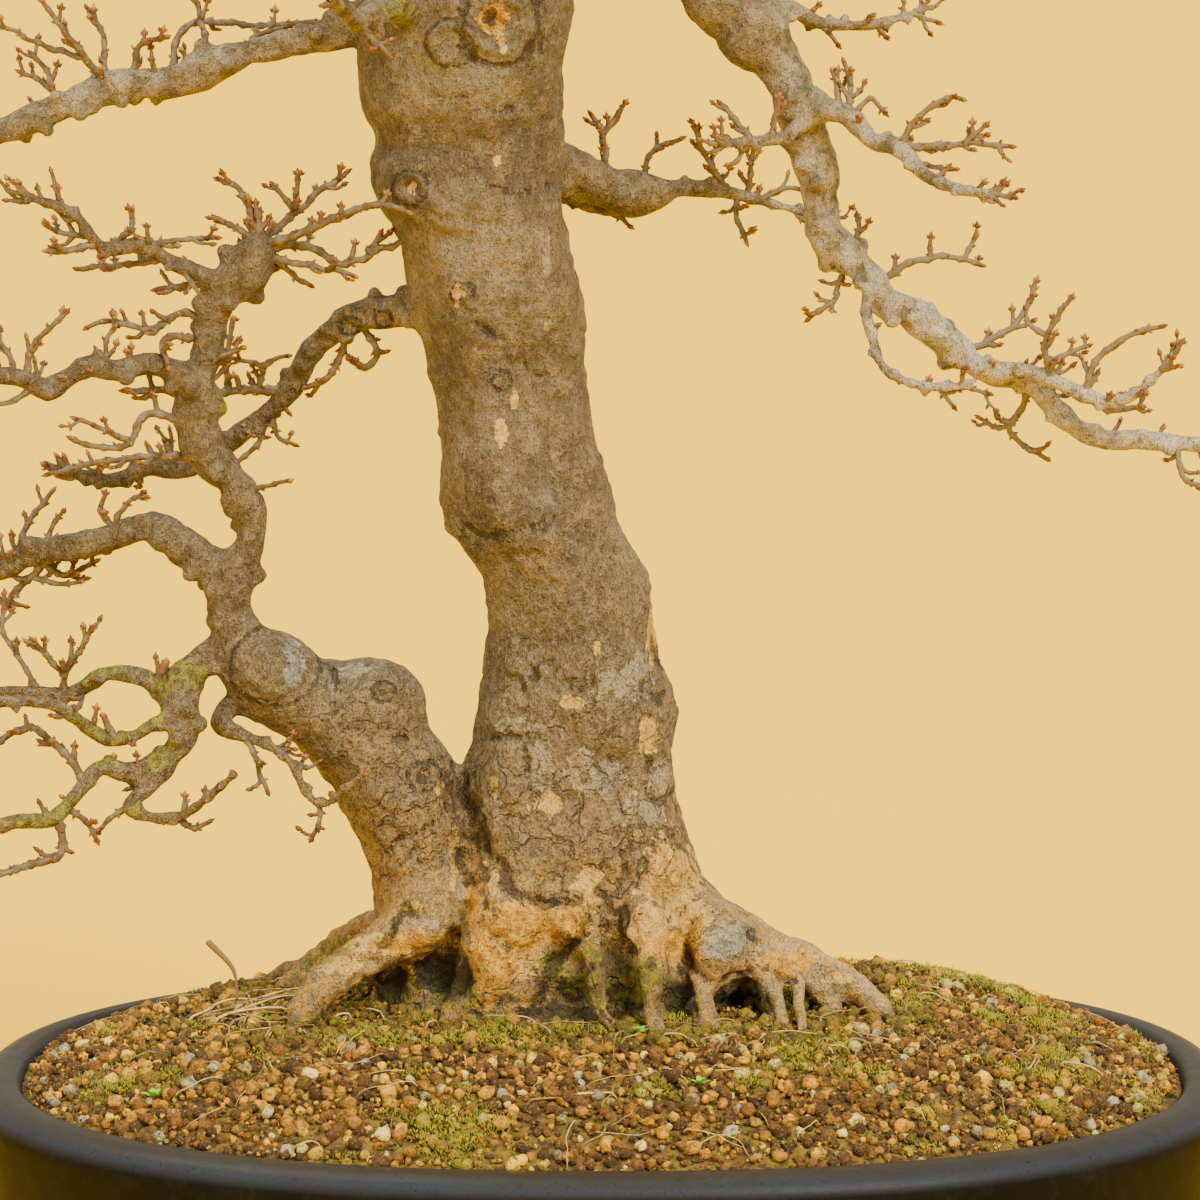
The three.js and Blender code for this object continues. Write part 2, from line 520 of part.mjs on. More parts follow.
// A low foot that follows the oval's edge, sunk a little into the floor.
function foot(middle) {
  const power = 2 / OVAL_POWER;
  const [outer, inner] = FOOT_INSETS;
  const top = FOOT_HEIGHT + FOOT_SINK;
  const rings = [];
  for (let i = 0; i <= FOOT_STEPS; i++) {
    const turn = ((middle + FOOT_SPAN * (i / FOOT_STEPS - 0.5)) * Math.PI) / 180;
    const c = Math.sign(Math.cos(turn)) * Math.abs(Math.cos(turn)) ** power;
    const s = Math.sign(Math.sin(turn)) * Math.abs(Math.sin(turn)) ** power;
    const corner = (inset, z) =>
      new THREE.Vector3((LIP_HALF[0] - inset) * c, (LIP_HALF[1] - inset) * s, z);
    const above = outer - FOOT_BATTER / 4;
    const below = above + FOOT_BATTER;
    rings.push([corner(inner, 0), corner(inner, top), corner(above, top), corner(below, 0)]);
  }
  return skin(rings, middleOf(rings[0]), middleOf(rings[FOOT_STEPS]));
}

function drainHole(x) {
  const drill = new THREE.CylinderGeometry(DRAIN_RADIUS, DRAIN_RADIUS, DRAIN_CUT, DRAIN_SIDES);
  return placed(drill, (g) => g.rotateX(Math.PI / 2).translate(x, 0, FLOOR_TOP));
}

// A three.js geometry, moved into place, as a solid.
function placed(geometry, move) {
  move(geometry);
  const place = geometry.attributes.position;
  const points = [];
  const known = new Map();
  const index = Array.from({ length: place.count }, (_, i) => {
    const p = new THREE.Vector3().fromBufferAttribute(place, i);
    const key = p.toArray().map((v) => Math.round(v * 1e4)).join();
    if (!known.has(key)) known.set(key, points.push(p) - 1);
    return known.get(key);
  });
  const triangles = [];
  for (let i = 0; i < geometry.index.count; i += 3) {
    const corner = [0, 1, 2].map((k) => index[geometry.index.getX(i + k)]);
    if (new Set(corner).size === 3) triangles.push(...corner);
  }
  return solid(points, triangles);
}

function block(size, centre) {
  return placed(new THREE.BoxGeometry(...size), (g) => g.translate(...centre));
}

// The drain screens and their wires

const SCREEN_SIZE = SCREEN_HOLES * SCREEN_PITCH + SCREEN_BAR;
const SCREEN_BOTTOM = FLOOR_TOP + GAP;
const SCREEN_TOP = SCREEN_BOTTOM + SCREEN_THICK;
const WIRE_TOP = SCREEN_TOP + GAP + WIRE_RADIUS;
const WIRE_LOW = FOOT_HEIGHT - GAP - WIRE_RADIUS;

// A square of open mesh, as crossing bars.
function screen(x) {
  const bars = [];
  for (let n = 0; n <= SCREEN_HOLES; n++) {
    const place = (n - SCREEN_HOLES / 2) * SCREEN_PITCH;
    const level = SCREEN_BOTTOM + SCREEN_THICK / 2;
    bars.push(block([SCREEN_SIZE, SCREEN_BAR, SCREEN_THICK], [x, place, level]));
    bars.push(block([SCREEN_BAR, SCREEN_SIZE, SCREEN_THICK], [x + place, 0, level]));
  }
  return wasm.Manifold.union(bars);
}

// A staple of wire: over the screen, down through the drain hole and out under the pot.
function wire(x) {
  const half = [
    [WIRE_LEG - WIRE_BEND, WIRE_TOP], [WIRE_LEG, WIRE_TOP - WIRE_BEND],
    [WIRE_LEG, WIRE_LOW + WIRE_BEND], [WIRE_LEG + WIRE_BEND, WIRE_LOW], [WIRE_FOOT, WIRE_LOW],
  ];
  const route = [...half.map(([u, z]) => [-u, z]).reverse(), ...half];
  const points = route.map(([u, z]) => new THREE.Vector3(x + u, WIRE_ROW, z));
  return tube(points, points.map(() => WIRE_RADIUS), WIRE_SIDES, WIRE_END);
}

// The soil

// Height of the soil's surface, without its grains.
function soilHeight(x, y) {
  const inner = [LIP_HALF[0] - LIP_WIDTH, LIP_HALF[1] - LIP_WIDTH];
  const reach = Math.abs(x / inner[0]) ** OVAL_POWER + Math.abs(y / inner[1]) ** OVAL_POWER;
  const share = Math.min(reach ** (1 / OVAL_POWER), SOIL_REACH);
  const away = Math.hypot(x - HUMP.x, y - HUMP.y) / HUMP.spread;
  return SOIL_EDGE + MOUND_RISE * (1 - share ** MOUND_POWER) + HUMP.rise * Math.exp(-(away ** 2));
}

// A block whose top is the soil's surface: every third point of a triangular lattice is a
// grain's crown and the others are the hollows round it.
function grainBlock() {
  const roll = dice(GRAIN_DICE);
  const rowStep = GRAIN_STEP * Math.sqrt(0.75);
  const columns = Math.ceil((LIP_LENGTH + SOIL_SPARE) / GRAIN_STEP);
  const rows = Math.ceil((LIP_DEPTH + SOIL_SPARE) / rowStep);
  const points = [];
  for (let j = 0; j <= rows; j++) {
    for (let i = 0; i <= columns; i++) {
      const x = (i + (j % 2) / 2 - columns / 2) * GRAIN_STEP + (roll() - 0.5) * GRAIN_STRAY;
      const y = (j - rows / 2) * rowStep + (roll() - 0.5) * GRAIN_STRAY;
      const crown = (i - Math.floor(j / 2) - j + 3 * rows) % 3 === 0;
      const [least, vary] = crown ? CROWN_LIFT : HOLLOW_DROP;
      const lift = (crown ? 1 : -1) * GRAIN_RISE * (least + vary * roll());
      points.push(new THREE.Vector3(x, y, soilHeight(x, y) + lift));
    }
  }
  const at = (i, j) => j * (columns + 1) + i;
  const triangles = [];
  for (let j = 0; j < rows; j++) {
    for (let i = 0; i < columns; i++) {
      const [a, b, c, d] = [at(i, j), at(i + 1, j), at(i, j + 1), at(i + 1, j + 1)];
      if (j % 2) triangles.push(a, b, d, a, d, c);
      else triangles.push(a, b, c, b, d, c);
    }
  }
  const edge = [];
  for (let i = 0; i < columns; i++) edge.push(at(i, 0));
  for (let j = 0; j < rows; j++) edge.push(at(columns, j));
  for (let i = columns; i > 0; i--) edge.push(at(i, rows));
  for (let j = rows; j > 0; j--) edge.push(at(0, j));
  const below = edge.map((n) => points.push(new THREE.Vector3(points[n].x, points[n].y, 0)) - 1);
  const middle = points.push(new THREE.Vector3(0, 0, 0)) - 1;
  edge.forEach((n, k) => {
    const next = (k + 1) % edge.length;
    triangles.push(below[k], below[next], edge[next], below[k], edge[next], n);
    triangles.push(middle, below[next], below[k]);
  });
  return solid(points, triangles);
}

// The room inside the pot, less a gap all round.
function potRoom() {
  const walls = [...INNER_WALL].reverse().map(([inset, z]) => [inset + 2 * GAP, z]);
  const profile = [[FLOOR_EDGE[0] + 2 * GAP, FLOOR_TOP + GAP], ...walls];
  const top = POT_HEIGHT + SOIL_ROOM;
  profile.push([LIP_WIDTH + 2 * GAP, top]);
  const rings = profile.map(([inset, z]) => oval(inset, z));
  return skin(
    rings,
    new THREE.Vector3(0, 0, FLOOR_TOP + GAP),
    new THREE.Vector3(0, 0, top),
  );
}

function soil() {
  let body = grainBlock().intersect(potRoom());
  body = body.subtract(wasm.Manifold.union(treeFoot(ROOT_CLEARANCE)));
  const room = SCREEN_SIZE + 2 * GAP;
  for (const x of [-DRAIN_OFFSET, DRAIN_OFFSET]) {
    const plate = SCREEN_TOP + GAP;
    body = body.subtract(block([room, room, 2 * plate], [x, 0, 0]));
    const groove = WIRE_TOP + WIRE_RADIUS + GAP;
    const wide = 2 * (WIRE_RADIUS + GAP);
    const long = 2 * (WIRE_LEG + WIRE_RADIUS + WIRE_ROOM);
    body = body.subtract(block([long, wide, 2 * groove], [x, WIRE_ROW, 0]));
  }
  return biggest(body);
}

// The tree

// The trunk: level rings between its seen edges, a little flatter at the foot, with shallow
// flutes on its near and far sides.
function trunk(extra) {
  const rings = TRUNK.map(([z, left, right], i) => {
    const depth = TRUNK_FOOT_DEPTH - TRUNK_LEAN * Math.max(z - LEAN_START, 0);
    const flare = THREE.MathUtils.clamp((FLARE_TOP - z) / FLARE_HEIGHT, 0, 1);
    const half = (right - left) / 2;
    const centre = seen((left + right) / 2, z, depth);
    if (i === 0) centre.z -= extra;
    return Array.from({ length: TRUNK_SIDES }, (_, k) => {
      const turn = (2 * Math.PI * k) / TRUNK_SIDES;
      const wave = Math.cos(FLUTES * turn + z / FLUTE_TWIST);
      const flute = 1 + FLUTE_DEPTH * Math.sin(turn) ** 2 * wave;
      const wide = half * flute + extra;
      const deep = half * (TRUNK_FLATNESS - FLARE_FLATNESS * flare) * flute + extra;
      return new THREE.Vector3(wide * Math.cos(turn), deep * Math.sin(turn), 0).add(centre);
    });
  });
  return skin(rings, middleOf(rings[0]), middleOf(rings[rings.length - 1]));
}

// Depth at which a line of sight meets the soil.
function soilDepth(x, z) {
  for (let y = -LIP_HALF[1]; y < LIP_HALF[1]; y++) {
    const p = seen(x, z, y);
    if (p.z <= soilHeight(p.x, p.y)) return y;
  }
  return LIP_HALF[1] / 2;
}

// Share of a path's length at each of its points.
function shares(path) {
  const far = [0];
  for (let i = 1; i < path.length; i++) {
    far.push(far[i - 1] + Math.hypot(path[i][0] - path[i - 1][0], path[i][1] - path[i - 1][1]));
  }
  return far.map((f) => f / far[far.length - 1]);
}

// A seen root: it leaves the trunk's inside at a shoulder and runs down to the soil and on into it.
function nearRoot([depth, path], extra) {
  const [x, z] = path[path.length - 1];
  const landing = soilDepth(x, z);
  const share = shares(path);
  const points = path.map(([u, w], i) => seen(u, w, depth + (landing - depth) * share[i]));
  const radii = path.map(([, , r]) => r);
  const [u, w, thick] = path[0];
  const inward = u + SHOULDER_SWAY * (TRUNK_FOOT_X - u);
  const shoulder = seen(inward, w + SHOULDER_RISE, depth * SHOULDER_DEPTH);
  return dive([shoulder, ...points], [thick * SHOULDER_THICK, ...radii], extra);
}

// A root on the far side, laid along the soil.
function farRoot([degrees, reach, radius], extra) {
  const turn = (degrees * Math.PI) / 180;
  const points = [];
  const radii = [];
  for (const [share, lift, thick] of FAR_ROOT_STEPS) {
    const x = FAR_ROOT_CENTRE[0] + reach * share * Math.cos(turn);
    const y = FAR_ROOT_CENTRE[1] + reach * share * Math.sin(turn) * FAR_ROOT_DEPTH;
    points.push(new THREE.Vector3(x, y, soilHeight(x, y) + lift));
    radii.push(radius * thick);
  }
  return dive(points, radii, extra);
}

// A root's tube, with a last stretch down into the soil.
function dive(points, radii, extra) {
  const last = points[points.length - 1];
  const before = points[points.length - 2];
  const out = last.clone().sub(before).setZ(0).normalize();
  const deep = last.clone().addScaledVector(out, DIVE_REACH);
  deep.z -= ROOT_DIVE;
  const thick = [...radii, radii[radii.length - 1] * DIVE_THICK].map((r) => r + extra);
  return tube([...points, deep], thick, ROOT_SIDES, ROOT_TIP + extra);
}

// The pieces of the tree that stand in the soil.
function treeFoot(extra) {
  const parts = [trunk(extra)];
  parts.push(...ROOTS.map((root) => nearRoot(root, extra)));
  parts.push(...FAR_ROOTS.map((root) => farRoot(root, extra)));
  parts.push(limbTube(LIMBS[0], extra));
  return parts;
}

// A limb's points in space.
function limbPoints([, near, far, , path]) {
  const share = shares(path);
  return path.map(([x, z], i) => seen(x, z, near + (far - near) * share[i]));
}

function limbTube(limb, extra) {
  const radii = limb[4].map(([, , r]) => r + extra);
  return tube(limbPoints(limb), radii, limb[3], radii[radii.length - 1]);
}

function lump([x, z, y, wide, deep, high]) {
  return placed(new THREE.SphereGeometry(1, ...LUMP_SIDES), (g) =>
    g.rotateX(Math.PI / 2).scale(wide, deep, high).translate(...seen(x, z, y).toArray()));
}

// Stems already grown, by the name of their limb, as points with radii.
const grown = new Map();

function remember(name, points, radii) {
  if (!grown.has(name)) grown.set(name, []);
  grown.get(name).push({ points, radii });
}

// The nearest place, as seen, on the stems of a limb.
function nearestOn(name, x, z) {
  let best = null;
  for (const { points } of grown.get(name)) {
    for (let i = 0; i < points.length - 1; i++) {
      for (let part = 0; part <= STEM_PARTS; part++) {
        const place = points[i].clone().lerp(points[i + 1], part / STEM_PARTS);
        const gap = seen(x, z, place.y).distanceTo(place);
        if (!best || gap < best.gap) best = { gap, place };
      }
    }
  }
  return best.place;
}

// A twig: it starts in its stem's heart and ends in a bud.
function twigTube(points, radii) {
  const tip = points.length - 1;
  const thick = [...radii];
  thick[tip] = radii[tip] * BUD_SWELL;
  return tube(points, thick, TWIG_SIDES, BUD_LENGTH);
}

// A seen twig: it swings nearer or farther along its length, by a wave of where it starts.
function seenTwig([name, thick, thin, path]) {
  const root = nearestOn(name, ...path[0]);
  const length = path.slice(1).reduce(
    (sum, [x, z], i) => sum + Math.hypot(x - path[i][0], z - path[i][1]), 0);
  const wave = SWING_WAVE[0] * path[0][0] + SWING_WAVE[1] * path[0][1];
  const swing = SWING * length * Math.sin(wave);
  const share = shares(path);
  const points = path.map(([x, z], i) => seen(x, z, root.y + swing * share[i]));
  points[0] = root;
  const radii = share.map((s) => thick + (thin - thick) * s);
  remember(name, points, radii);
  return twigTube(points, radii);
}

// Twigs by rule: each leaves its limb sideways and turns up a little.
function spray([name, start, count, length], roll) {
  const { points, radii } = grown.get(name)[0];
  const twigs = [];
  for (let n = 0; n < count; n++) {
    const place = (start + ((1 - start) * (n + 0.5)) / count) * (points.length - 1);
    const i = Math.min(Math.floor(place), points.length - 2);
    const root = points[i].clone().lerp(points[i + 1], place - i);
    const along = points[i + 1].clone().sub(points[i]).normalize();
    const turn = (n % 2 ? 0 : Math.PI) + (roll() - 0.5) * SPRAY.scatter;
    const side = new THREE.Vector3(0, 0, 1).cross(along).normalize();
    const up = along.clone().cross(side);
    const out = side.multiplyScalar(Math.cos(turn));
    out.addScaledVector(up, SPRAY.rise + SPRAY.spread * Math.sin(turn));
    const way = along.multiplyScalar(SPRAY.along).add(out).normalize();
    const full = length * (SPRAY.shortest + SPRAY.vary * roll());
    const reach = full * (1 - (SPRAY.shorten * n) / count);
    const knee = root.clone().addScaledVector(way, reach * SPRAY.knee);
    const [level, rise] = SPRAY.lift;
    const lift = new THREE.Vector3(roll() - 0.5, roll() - 0.5, level + rise * roll());
    const tipWay = way.clone().addScaledVector(lift, SPRAY.lean).normalize();
    const tip = knee.clone().addScaledVector(tipWay, reach * SPRAY.end);
    const thick = Math.min(SPRAY.thickest, radii[i] * SPRAY.thin);
    twigs.push({ points: [root, knee, tip], radii: [thick, thick * SPRAY.taper, SPRAY.tip] });
  }
  return twigs.map((twig) => {
    remember(name, twig.points, twig.radii);
    return twigTube(twig.points, twig.radii);
  });
}

function tree() {
  const parts = treeFoot(0);
  for (const limb of LIMBS) {
    if (limb !== LIMBS[0]) parts.push(limbTube(limb, 0));
    remember(limb[0], limbPoints(limb), limb[4].map(([, , r]) => r));
  }
  parts.push(...LUMPS.map(lump));
  parts.push(...TWIGS.map(seenTwig));
  SPRAYS.forEach((rule, n) => parts.push(...spray(rule, dice(FIRST_DICE + n))));
  return biggest(wasm.Manifold.union(parts));
}

// The assembly

function mesh(name, body, colour, roughness, metalness) {
  const { numProp, vertProperties, triVerts } = body.getMesh();
  const count = vertProperties.length / numProp;
  const place = new Float32Array(count * 3);
  for (let i = 0; i < count; i++) {
    for (let k = 0; k < 3; k++) place[i * 3 + k] = vertProperties[i * numProp + k];
  }
  const geometry = new THREE.BufferGeometry();
  geometry.setAttribute("position", new THREE.BufferAttribute(place, 3));
  geometry.setIndex(new THREE.BufferAttribute(triVerts, 1));
  geometry.computeVertexNormals();
  const made = new THREE.Mesh(
    geometry,
    new THREE.MeshStandardMaterial({ color: colour, roughness, metalness }),
  );
  made.name = name;
  return made;
}

const bonsai = new THREE.Group();
bonsai.add(mesh("pot", pot(), COLOURS.pot, 0.55, 0));
bonsai.add(mesh("soil", soil(), COLOURS.soil, 0.95, 0));
bonsai.add(mesh("tree", tree(), COLOURS.bark, 0.85, 0));
for (const [side, x] of [["left", -DRAIN_OFFSET], ["right", DRAIN_OFFSET]]) {
  bonsai.add(mesh(`drain_screen_${side}`, screen(x), COLOURS.screen, 0.6, 0));
  bonsai.add(mesh(`screen_wire_${side}`, wire(x), COLOURS.wire, 0.4, 0.9));
}

export default bonsai;
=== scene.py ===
# A leafless trident maple bonsai in an oval pot: its fine surface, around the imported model.
import math

import bpy
import numpy as np
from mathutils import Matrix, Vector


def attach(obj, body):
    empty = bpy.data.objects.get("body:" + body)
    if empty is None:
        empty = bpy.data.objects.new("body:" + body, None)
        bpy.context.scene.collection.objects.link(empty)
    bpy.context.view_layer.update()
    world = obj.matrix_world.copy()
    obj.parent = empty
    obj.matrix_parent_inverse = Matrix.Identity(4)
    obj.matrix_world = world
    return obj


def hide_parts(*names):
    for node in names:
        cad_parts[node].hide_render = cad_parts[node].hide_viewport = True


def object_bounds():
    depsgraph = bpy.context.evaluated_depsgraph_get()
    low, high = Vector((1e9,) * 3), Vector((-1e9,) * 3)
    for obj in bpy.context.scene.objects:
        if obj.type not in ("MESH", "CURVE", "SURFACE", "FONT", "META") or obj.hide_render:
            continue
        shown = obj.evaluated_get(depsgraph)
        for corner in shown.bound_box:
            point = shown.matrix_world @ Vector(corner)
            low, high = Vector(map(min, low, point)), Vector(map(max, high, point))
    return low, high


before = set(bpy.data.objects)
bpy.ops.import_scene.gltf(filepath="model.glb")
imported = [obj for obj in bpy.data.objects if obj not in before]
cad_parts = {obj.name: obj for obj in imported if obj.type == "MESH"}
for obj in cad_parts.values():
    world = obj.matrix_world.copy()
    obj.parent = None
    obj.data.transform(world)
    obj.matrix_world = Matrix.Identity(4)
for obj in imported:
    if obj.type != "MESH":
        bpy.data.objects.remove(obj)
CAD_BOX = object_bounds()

import openvdb
from mathutils import Vector

# Sizes are in millimetres until a mesh is made, and MM turns them into metres.
MM = 0.001
UP = np.array([0.0, 0.0, 1.0])

# The pot
LIP_HALF = np.array([266.0, 202.0])
LIP_WIDTH = 20.0
OVAL_POWER = 2.3
POT_HEIGHT = 90.0
POT_ROUNDING = 4.0
POT_SIDES = 180
FLOOR_TOP = 18.0
FOOT_HEIGHT = 8.0
FOOT_SPAN = 26.0
FOOT_MIDDLES = [38, 142, 218, 322]
FOOT_INSETS = [26, 46]
FOOT_RINGS = 25
FOOT_ROUNDING = 2.5
FOOT_END_RISE = 1.5
DRAIN_RADIUS = 12.5
DRAIN_OFFSET = 110.0
DRAIN_SIDES = 48

# The pot's outline as inset from the lip's edge and height, from under it to its floor.
POT_OUTLINE = [
    [36, 8], [22, 9.5], [14, 16], [2, 68], [0, 79], [1, 84], [4.5, 87.8], [10, 90], [17.5, 90],
    [20, 87.5], [28, 25], [36, 18],
]

# The soil, its hump as x, y, half width and rise, and the bed under its grains
SOIL_EDGE = 86.0
MOUND_RISE = 34.0
MOUND_POWER = 3.3
HUMP = [145, 75, 45, 4]
BED_DROP = 1.6
BED_GAP = 0.6
BED_SIDES = 240
BED_RINGS = 70
BED_FLOOR = 22.0

# The trunk's foot, and the roots at their shoulder and where they dive into the soil
TRUNK_FOOT_X = -12.0
TRUNK_FOOT_DEPTH = 10.0
TRUNK_LEAN = 0.04
FLUTES = 5
FLUTE_DEPTH = 0.05
SHOULDER_RISE = 20.0
SHOULDER_SWAY = 0.25
SHOULDER_DEPTH = 0.35
SHOULDER_GIRTH = 0.55
ROOT_REACH = 6.0
ROOT_DIVE = 13.0

# A far root's path: share of its reach, height over the soil and share of its radius.
FAR_ROOT_PATH = [[0.3, 24, 1.3], [0.55, 14, 1.1], [0.8, 3, 0.8], [1, -1, 0.55]]
FAR_ROOT_START = [-8, 8]
FAR_ROOT_SQUASH = 0.85

# The tree's points are read in the plane y = 0 as they show from the eye, and carried
# along their line of sight to their own depth.
EYE = np.array([-0.84, -2374.0, 640.0])
AIM_HEIGHT = 289.4
VIEW_LENS = 171.4
SENSOR_WIDTH = 36.0

# The grid that the wood is grown on
CELL = 1.65
FIELD_REACH = 30.0
FIELD_MARGIN = 4.0
WOOD_LOW = [-326, -190, 80]
WOOD_HIGH = [330, 182, 782]
WOOD_CUT = 88.0

# The fillet where a part meets the wood, and how uneven a stem's girth is
FILLETS = {"trunk": 4, "lump": 10, "near root": 7, "far root": 9, "subtrunk": 14, "limb": 5, "burr": 2}
UNEVEN = {"root": 0.1, "thick": 0.04, "limb": 0.15}
THICK_LIMB = 20.0
BURR_LIMB = 12.0
TRUNK_STEP = 4.0
LIMB_STEP = 3.0

# Relief on the bark: how far a large low knob and peeled and pale bark lie out, and cracks' waver
KNOB_SIZE = 10.0
KNOB_TOP = 300.0
KNOB_RISE = 5.0
PEEL_DEPTH = 0.7
PALE_RISE = 0.5
CRACK_WAVER = 2.2

# Twigs and buds: steps along a twig, girths, sides, and chances of a spur at a node
TWIG_STEP = 1.7
SHORT_STEP = 0.8
TWIG_GIRTH = 0.86
TWIG_SWING = 0.45
TWIG_SIDES = 5
TIP_LIMB = 7.0
LEAST_TIP = 1.5
BUD_SIDES = 4
BUD_STEPS = np.array([0, 0.36])
BUD_SIZES = np.array([0.6, 1])
BUD_CHANCE = 0.75
SPURS = {"seen": 0.22, "spray": 0.3, "extra": 0.15, "side": 0.12, "tip": 0.1}
SPUR_GAIN = 0.25
SPRAY_SIDES = (0.35, 0.6, 0.82)
TIP_FAN = (0, 0.8, -0.8, 0.5)

# What lies on the soil
GRAIN_SPACING = 4.5
GRAIN_SIZES = [0.8, 1.8, 3.5]
NEAR_GRAINS = -45.0
CRUMB_COUNT = 8000
MOSS_TRIES = 90000
THREAD_STEP = 2.2
STRAY_THREADS = 160
STEM_DEPTH = -20.0
STEM_PATH = [[-155, 118], [-155, 124], [-157, 132], [-167, 143]]
STEM_RADII = [0.8, 0.6, 1.0, 1.5]

# Where each random run starts
SEEDS = {
    "twigs": 5, "sprays": 11, "burrs": 200, "near roots": 0, "far roots": 30, "limbs": 60,
    "grains": 17, "crumbs": 23, "moss": 29, "rootlets": 31, "sprouts": 37,
}

# Mossy places: x, y, half width, half depth and gain.
MOSS_PATCHES = [
    [-140, -20, 34, 30, 0.5], [-105, -70, 30, 20, 0.35], [190, -30, 36, 40, 0.5],
    [70, -110, 40, 14, 0.3], [-20, -62, 34, 14, 0.4], [-190, -90, 30, 24, 0.25],
    [150, 60, 50, 40, 0.3], [-60, -150, 40, 14, 0.3],
]

# Bundles of rootlets: seen x, seen z, count, spread, length and heading.
THREADS = [
    [-172, 108, 12, 9, 34, 0.1], [-160, 112, 8, 8, 26, -0.3], [-120, 108, 5, 12, 16, -0.8],
    [30, 100, 7, 26, 16, -1.2], [90, 104, 6, 18, 18, -0.6], [140, 120, 6, 20, 26, 0.2],
    [-60, 100, 6, 24, 16, -1.4], [190, 96, 5, 20, 20, -0.4], [-20, 76, 8, 60, 18, 0.3],
]

# Sprouts: seen x, seen z, leaves and size.
SPROUTS = [[-191, 74, 7, 6], [16, 102, 6, 5], [42, 80, 6, 5], [55, 56, 5, 4.5], [120, 84, 5, 3.5]]

# A sprout's leaf, in shares of its size: steps along it, half widths there and curl.
LEAF_STEPS = np.array([0, 0.35, 0.7, 1])
LEAF_WIDTHS = np.array([0.06, 0.26, 0.22, 0.02])
LEAF_CURL = np.array([0, 0.02, 0.0, -0.12])
LEAF_TONES = [0, 0.3, 0.7, 1]

# Fringes of short twigs by rule: limb, start share, spacing and length.
FRINGES = [
    ["topLeft", 0.35, 18, 9], ["leader", 0.45, 22, 9], ["leader", 0.88, 4, 9], ["leaderLeft", 0.2, 18, 8],
    ["middleLeft", 0.25, 20, 8], ["arch", 0.35, 24, 8], ["lowerA", 0.3, 20, 8], ["lowerB", 0.2, 18, 8],
    ["lowerC", 0.2, 18, 8], ["lowerD", 0.3, 20, 7], ["behind", 0.45, 24, 8], ["rightMain", 0.62, 26, 8],
    ["rightUpper", 0.2, 18, 8], ["rightHanging", 0.3, 20, 6], ["rightLateral", 0.3, 18, 8],
    ["rightTop", 0.3, 20, 7], ["middleRight", 0.5, 16, 8], ["crownLeftLow", 0.3, 12, 14],
    ["crownLeftMiddle", 0.25, 12, 14], ["crownLeftHigh", 0.2, 12, 13], ["crownRightLow", 0.3, 12, 14],
    ["crownRightMiddle", 0.25, 12, 14], ["farLow", 0.3, 12, 13], ["farMiddle", 0.3, 12, 14],
    ["farHigh", 0.3, 12, 14], ["farTop", 0.3, 12, 13], ["nearLow", 0.3, 12, 13],
    ["nearHigh", 0.3, 12, 13], ["apexLeft", 0.3, 10, 10], ["apexMiddle", 0.3, 10, 9],
    ["apexRight", 0.3, 10, 10],
]

# Colours, as linear red, green and blue
BARK = {
    "shade": (0.093, 0.068, 0.034), "brown": (0.144, 0.105, 0.049), "grey": (0.224, 0.174, 0.094),
    "light": (0.34, 0.25, 0.12), "dark": (0.062, 0.04, 0.015), "crack": (0.026, 0.017, 0.007),
    "warm": (0.25, 0.158, 0.058), "cool": (0.18, 0.163, 0.108), "fleck": (0.46, 0.36, 0.19),
    # The damp colour darkens the wood near the soil and in the root hollows: damp bark and painted shade.
    "damp_and_shade": (0.08, 0.068, 0.006), "gold": (0.66, 0.32, 0.014), "foot": (0.6, 0.395, 0.12),
}
LIMB = {
    "olive": (0.105, 0.086, 0.026), "brown": (0.165, 0.114, 0.046), "grey": (0.26, 0.205, 0.115),
    "pale": (0.52, 0.43, 0.28), "silver": (0.9, 0.8, 0.6),
}
# The tones of each mark, dark and light, with its strength and the strength of its dark rim.
MARK_TONES = {
    "pale": ((0.3, 0.24, 0.14), (0.54, 0.45, 0.28), 0.5, 0.3),
    "peel": ((0.56, 0.29, 0.03), (0.82, 0.54, 0.13), 0.8, 0.5),
    "gold": ((0.42, 0.17, 0.006), (0.8, 0.42, 0.014), 0.85, 0.0),
    "slate": ((0.14, 0.132, 0.112), (0.4, 0.385, 0.33), 0.6, 0.3),
    # The damp mark is damp bark and painted shade in the root hollows.
    "damp_and_shade": ((0.06, 0.042, 0.01), (0.16, 0.11, 0.02), 0.85, 0.0),
    "moss": ((0.07, 0.068, 0.003), (0.3, 0.29, 0.006), 0.65, 0.0),
    # The dark mark is painted shade in hollows.
    "dark": ((0.02, 0.013, 0.005), (0.05, 0.032, 0.012), 0.9, 0.0),
}
TWIG = {
    "brown": (0.105, 0.066, 0.022), "pale": (0.19, 0.135, 0.06), "grey": (0.18, 0.145, 0.085),
    "rust": (0.17, 0.07, 0.018),
}
BUD = {
    "dark": (0.09, 0.035, 0.01), "rust": (0.21, 0.08, 0.02), "pale": (0.36, 0.19, 0.06),
    "edge": (0.05, 0.018, 0.006),
}
SOIL = {
    "dark": (0.05, 0.025, 0.004), "brown": (0.2, 0.1, 0.012), "tan": (0.5, 0.29, 0.03),
    "cream": (0.85, 0.62, 0.1), "moss": (0.23, 0.215, 0.003),
}
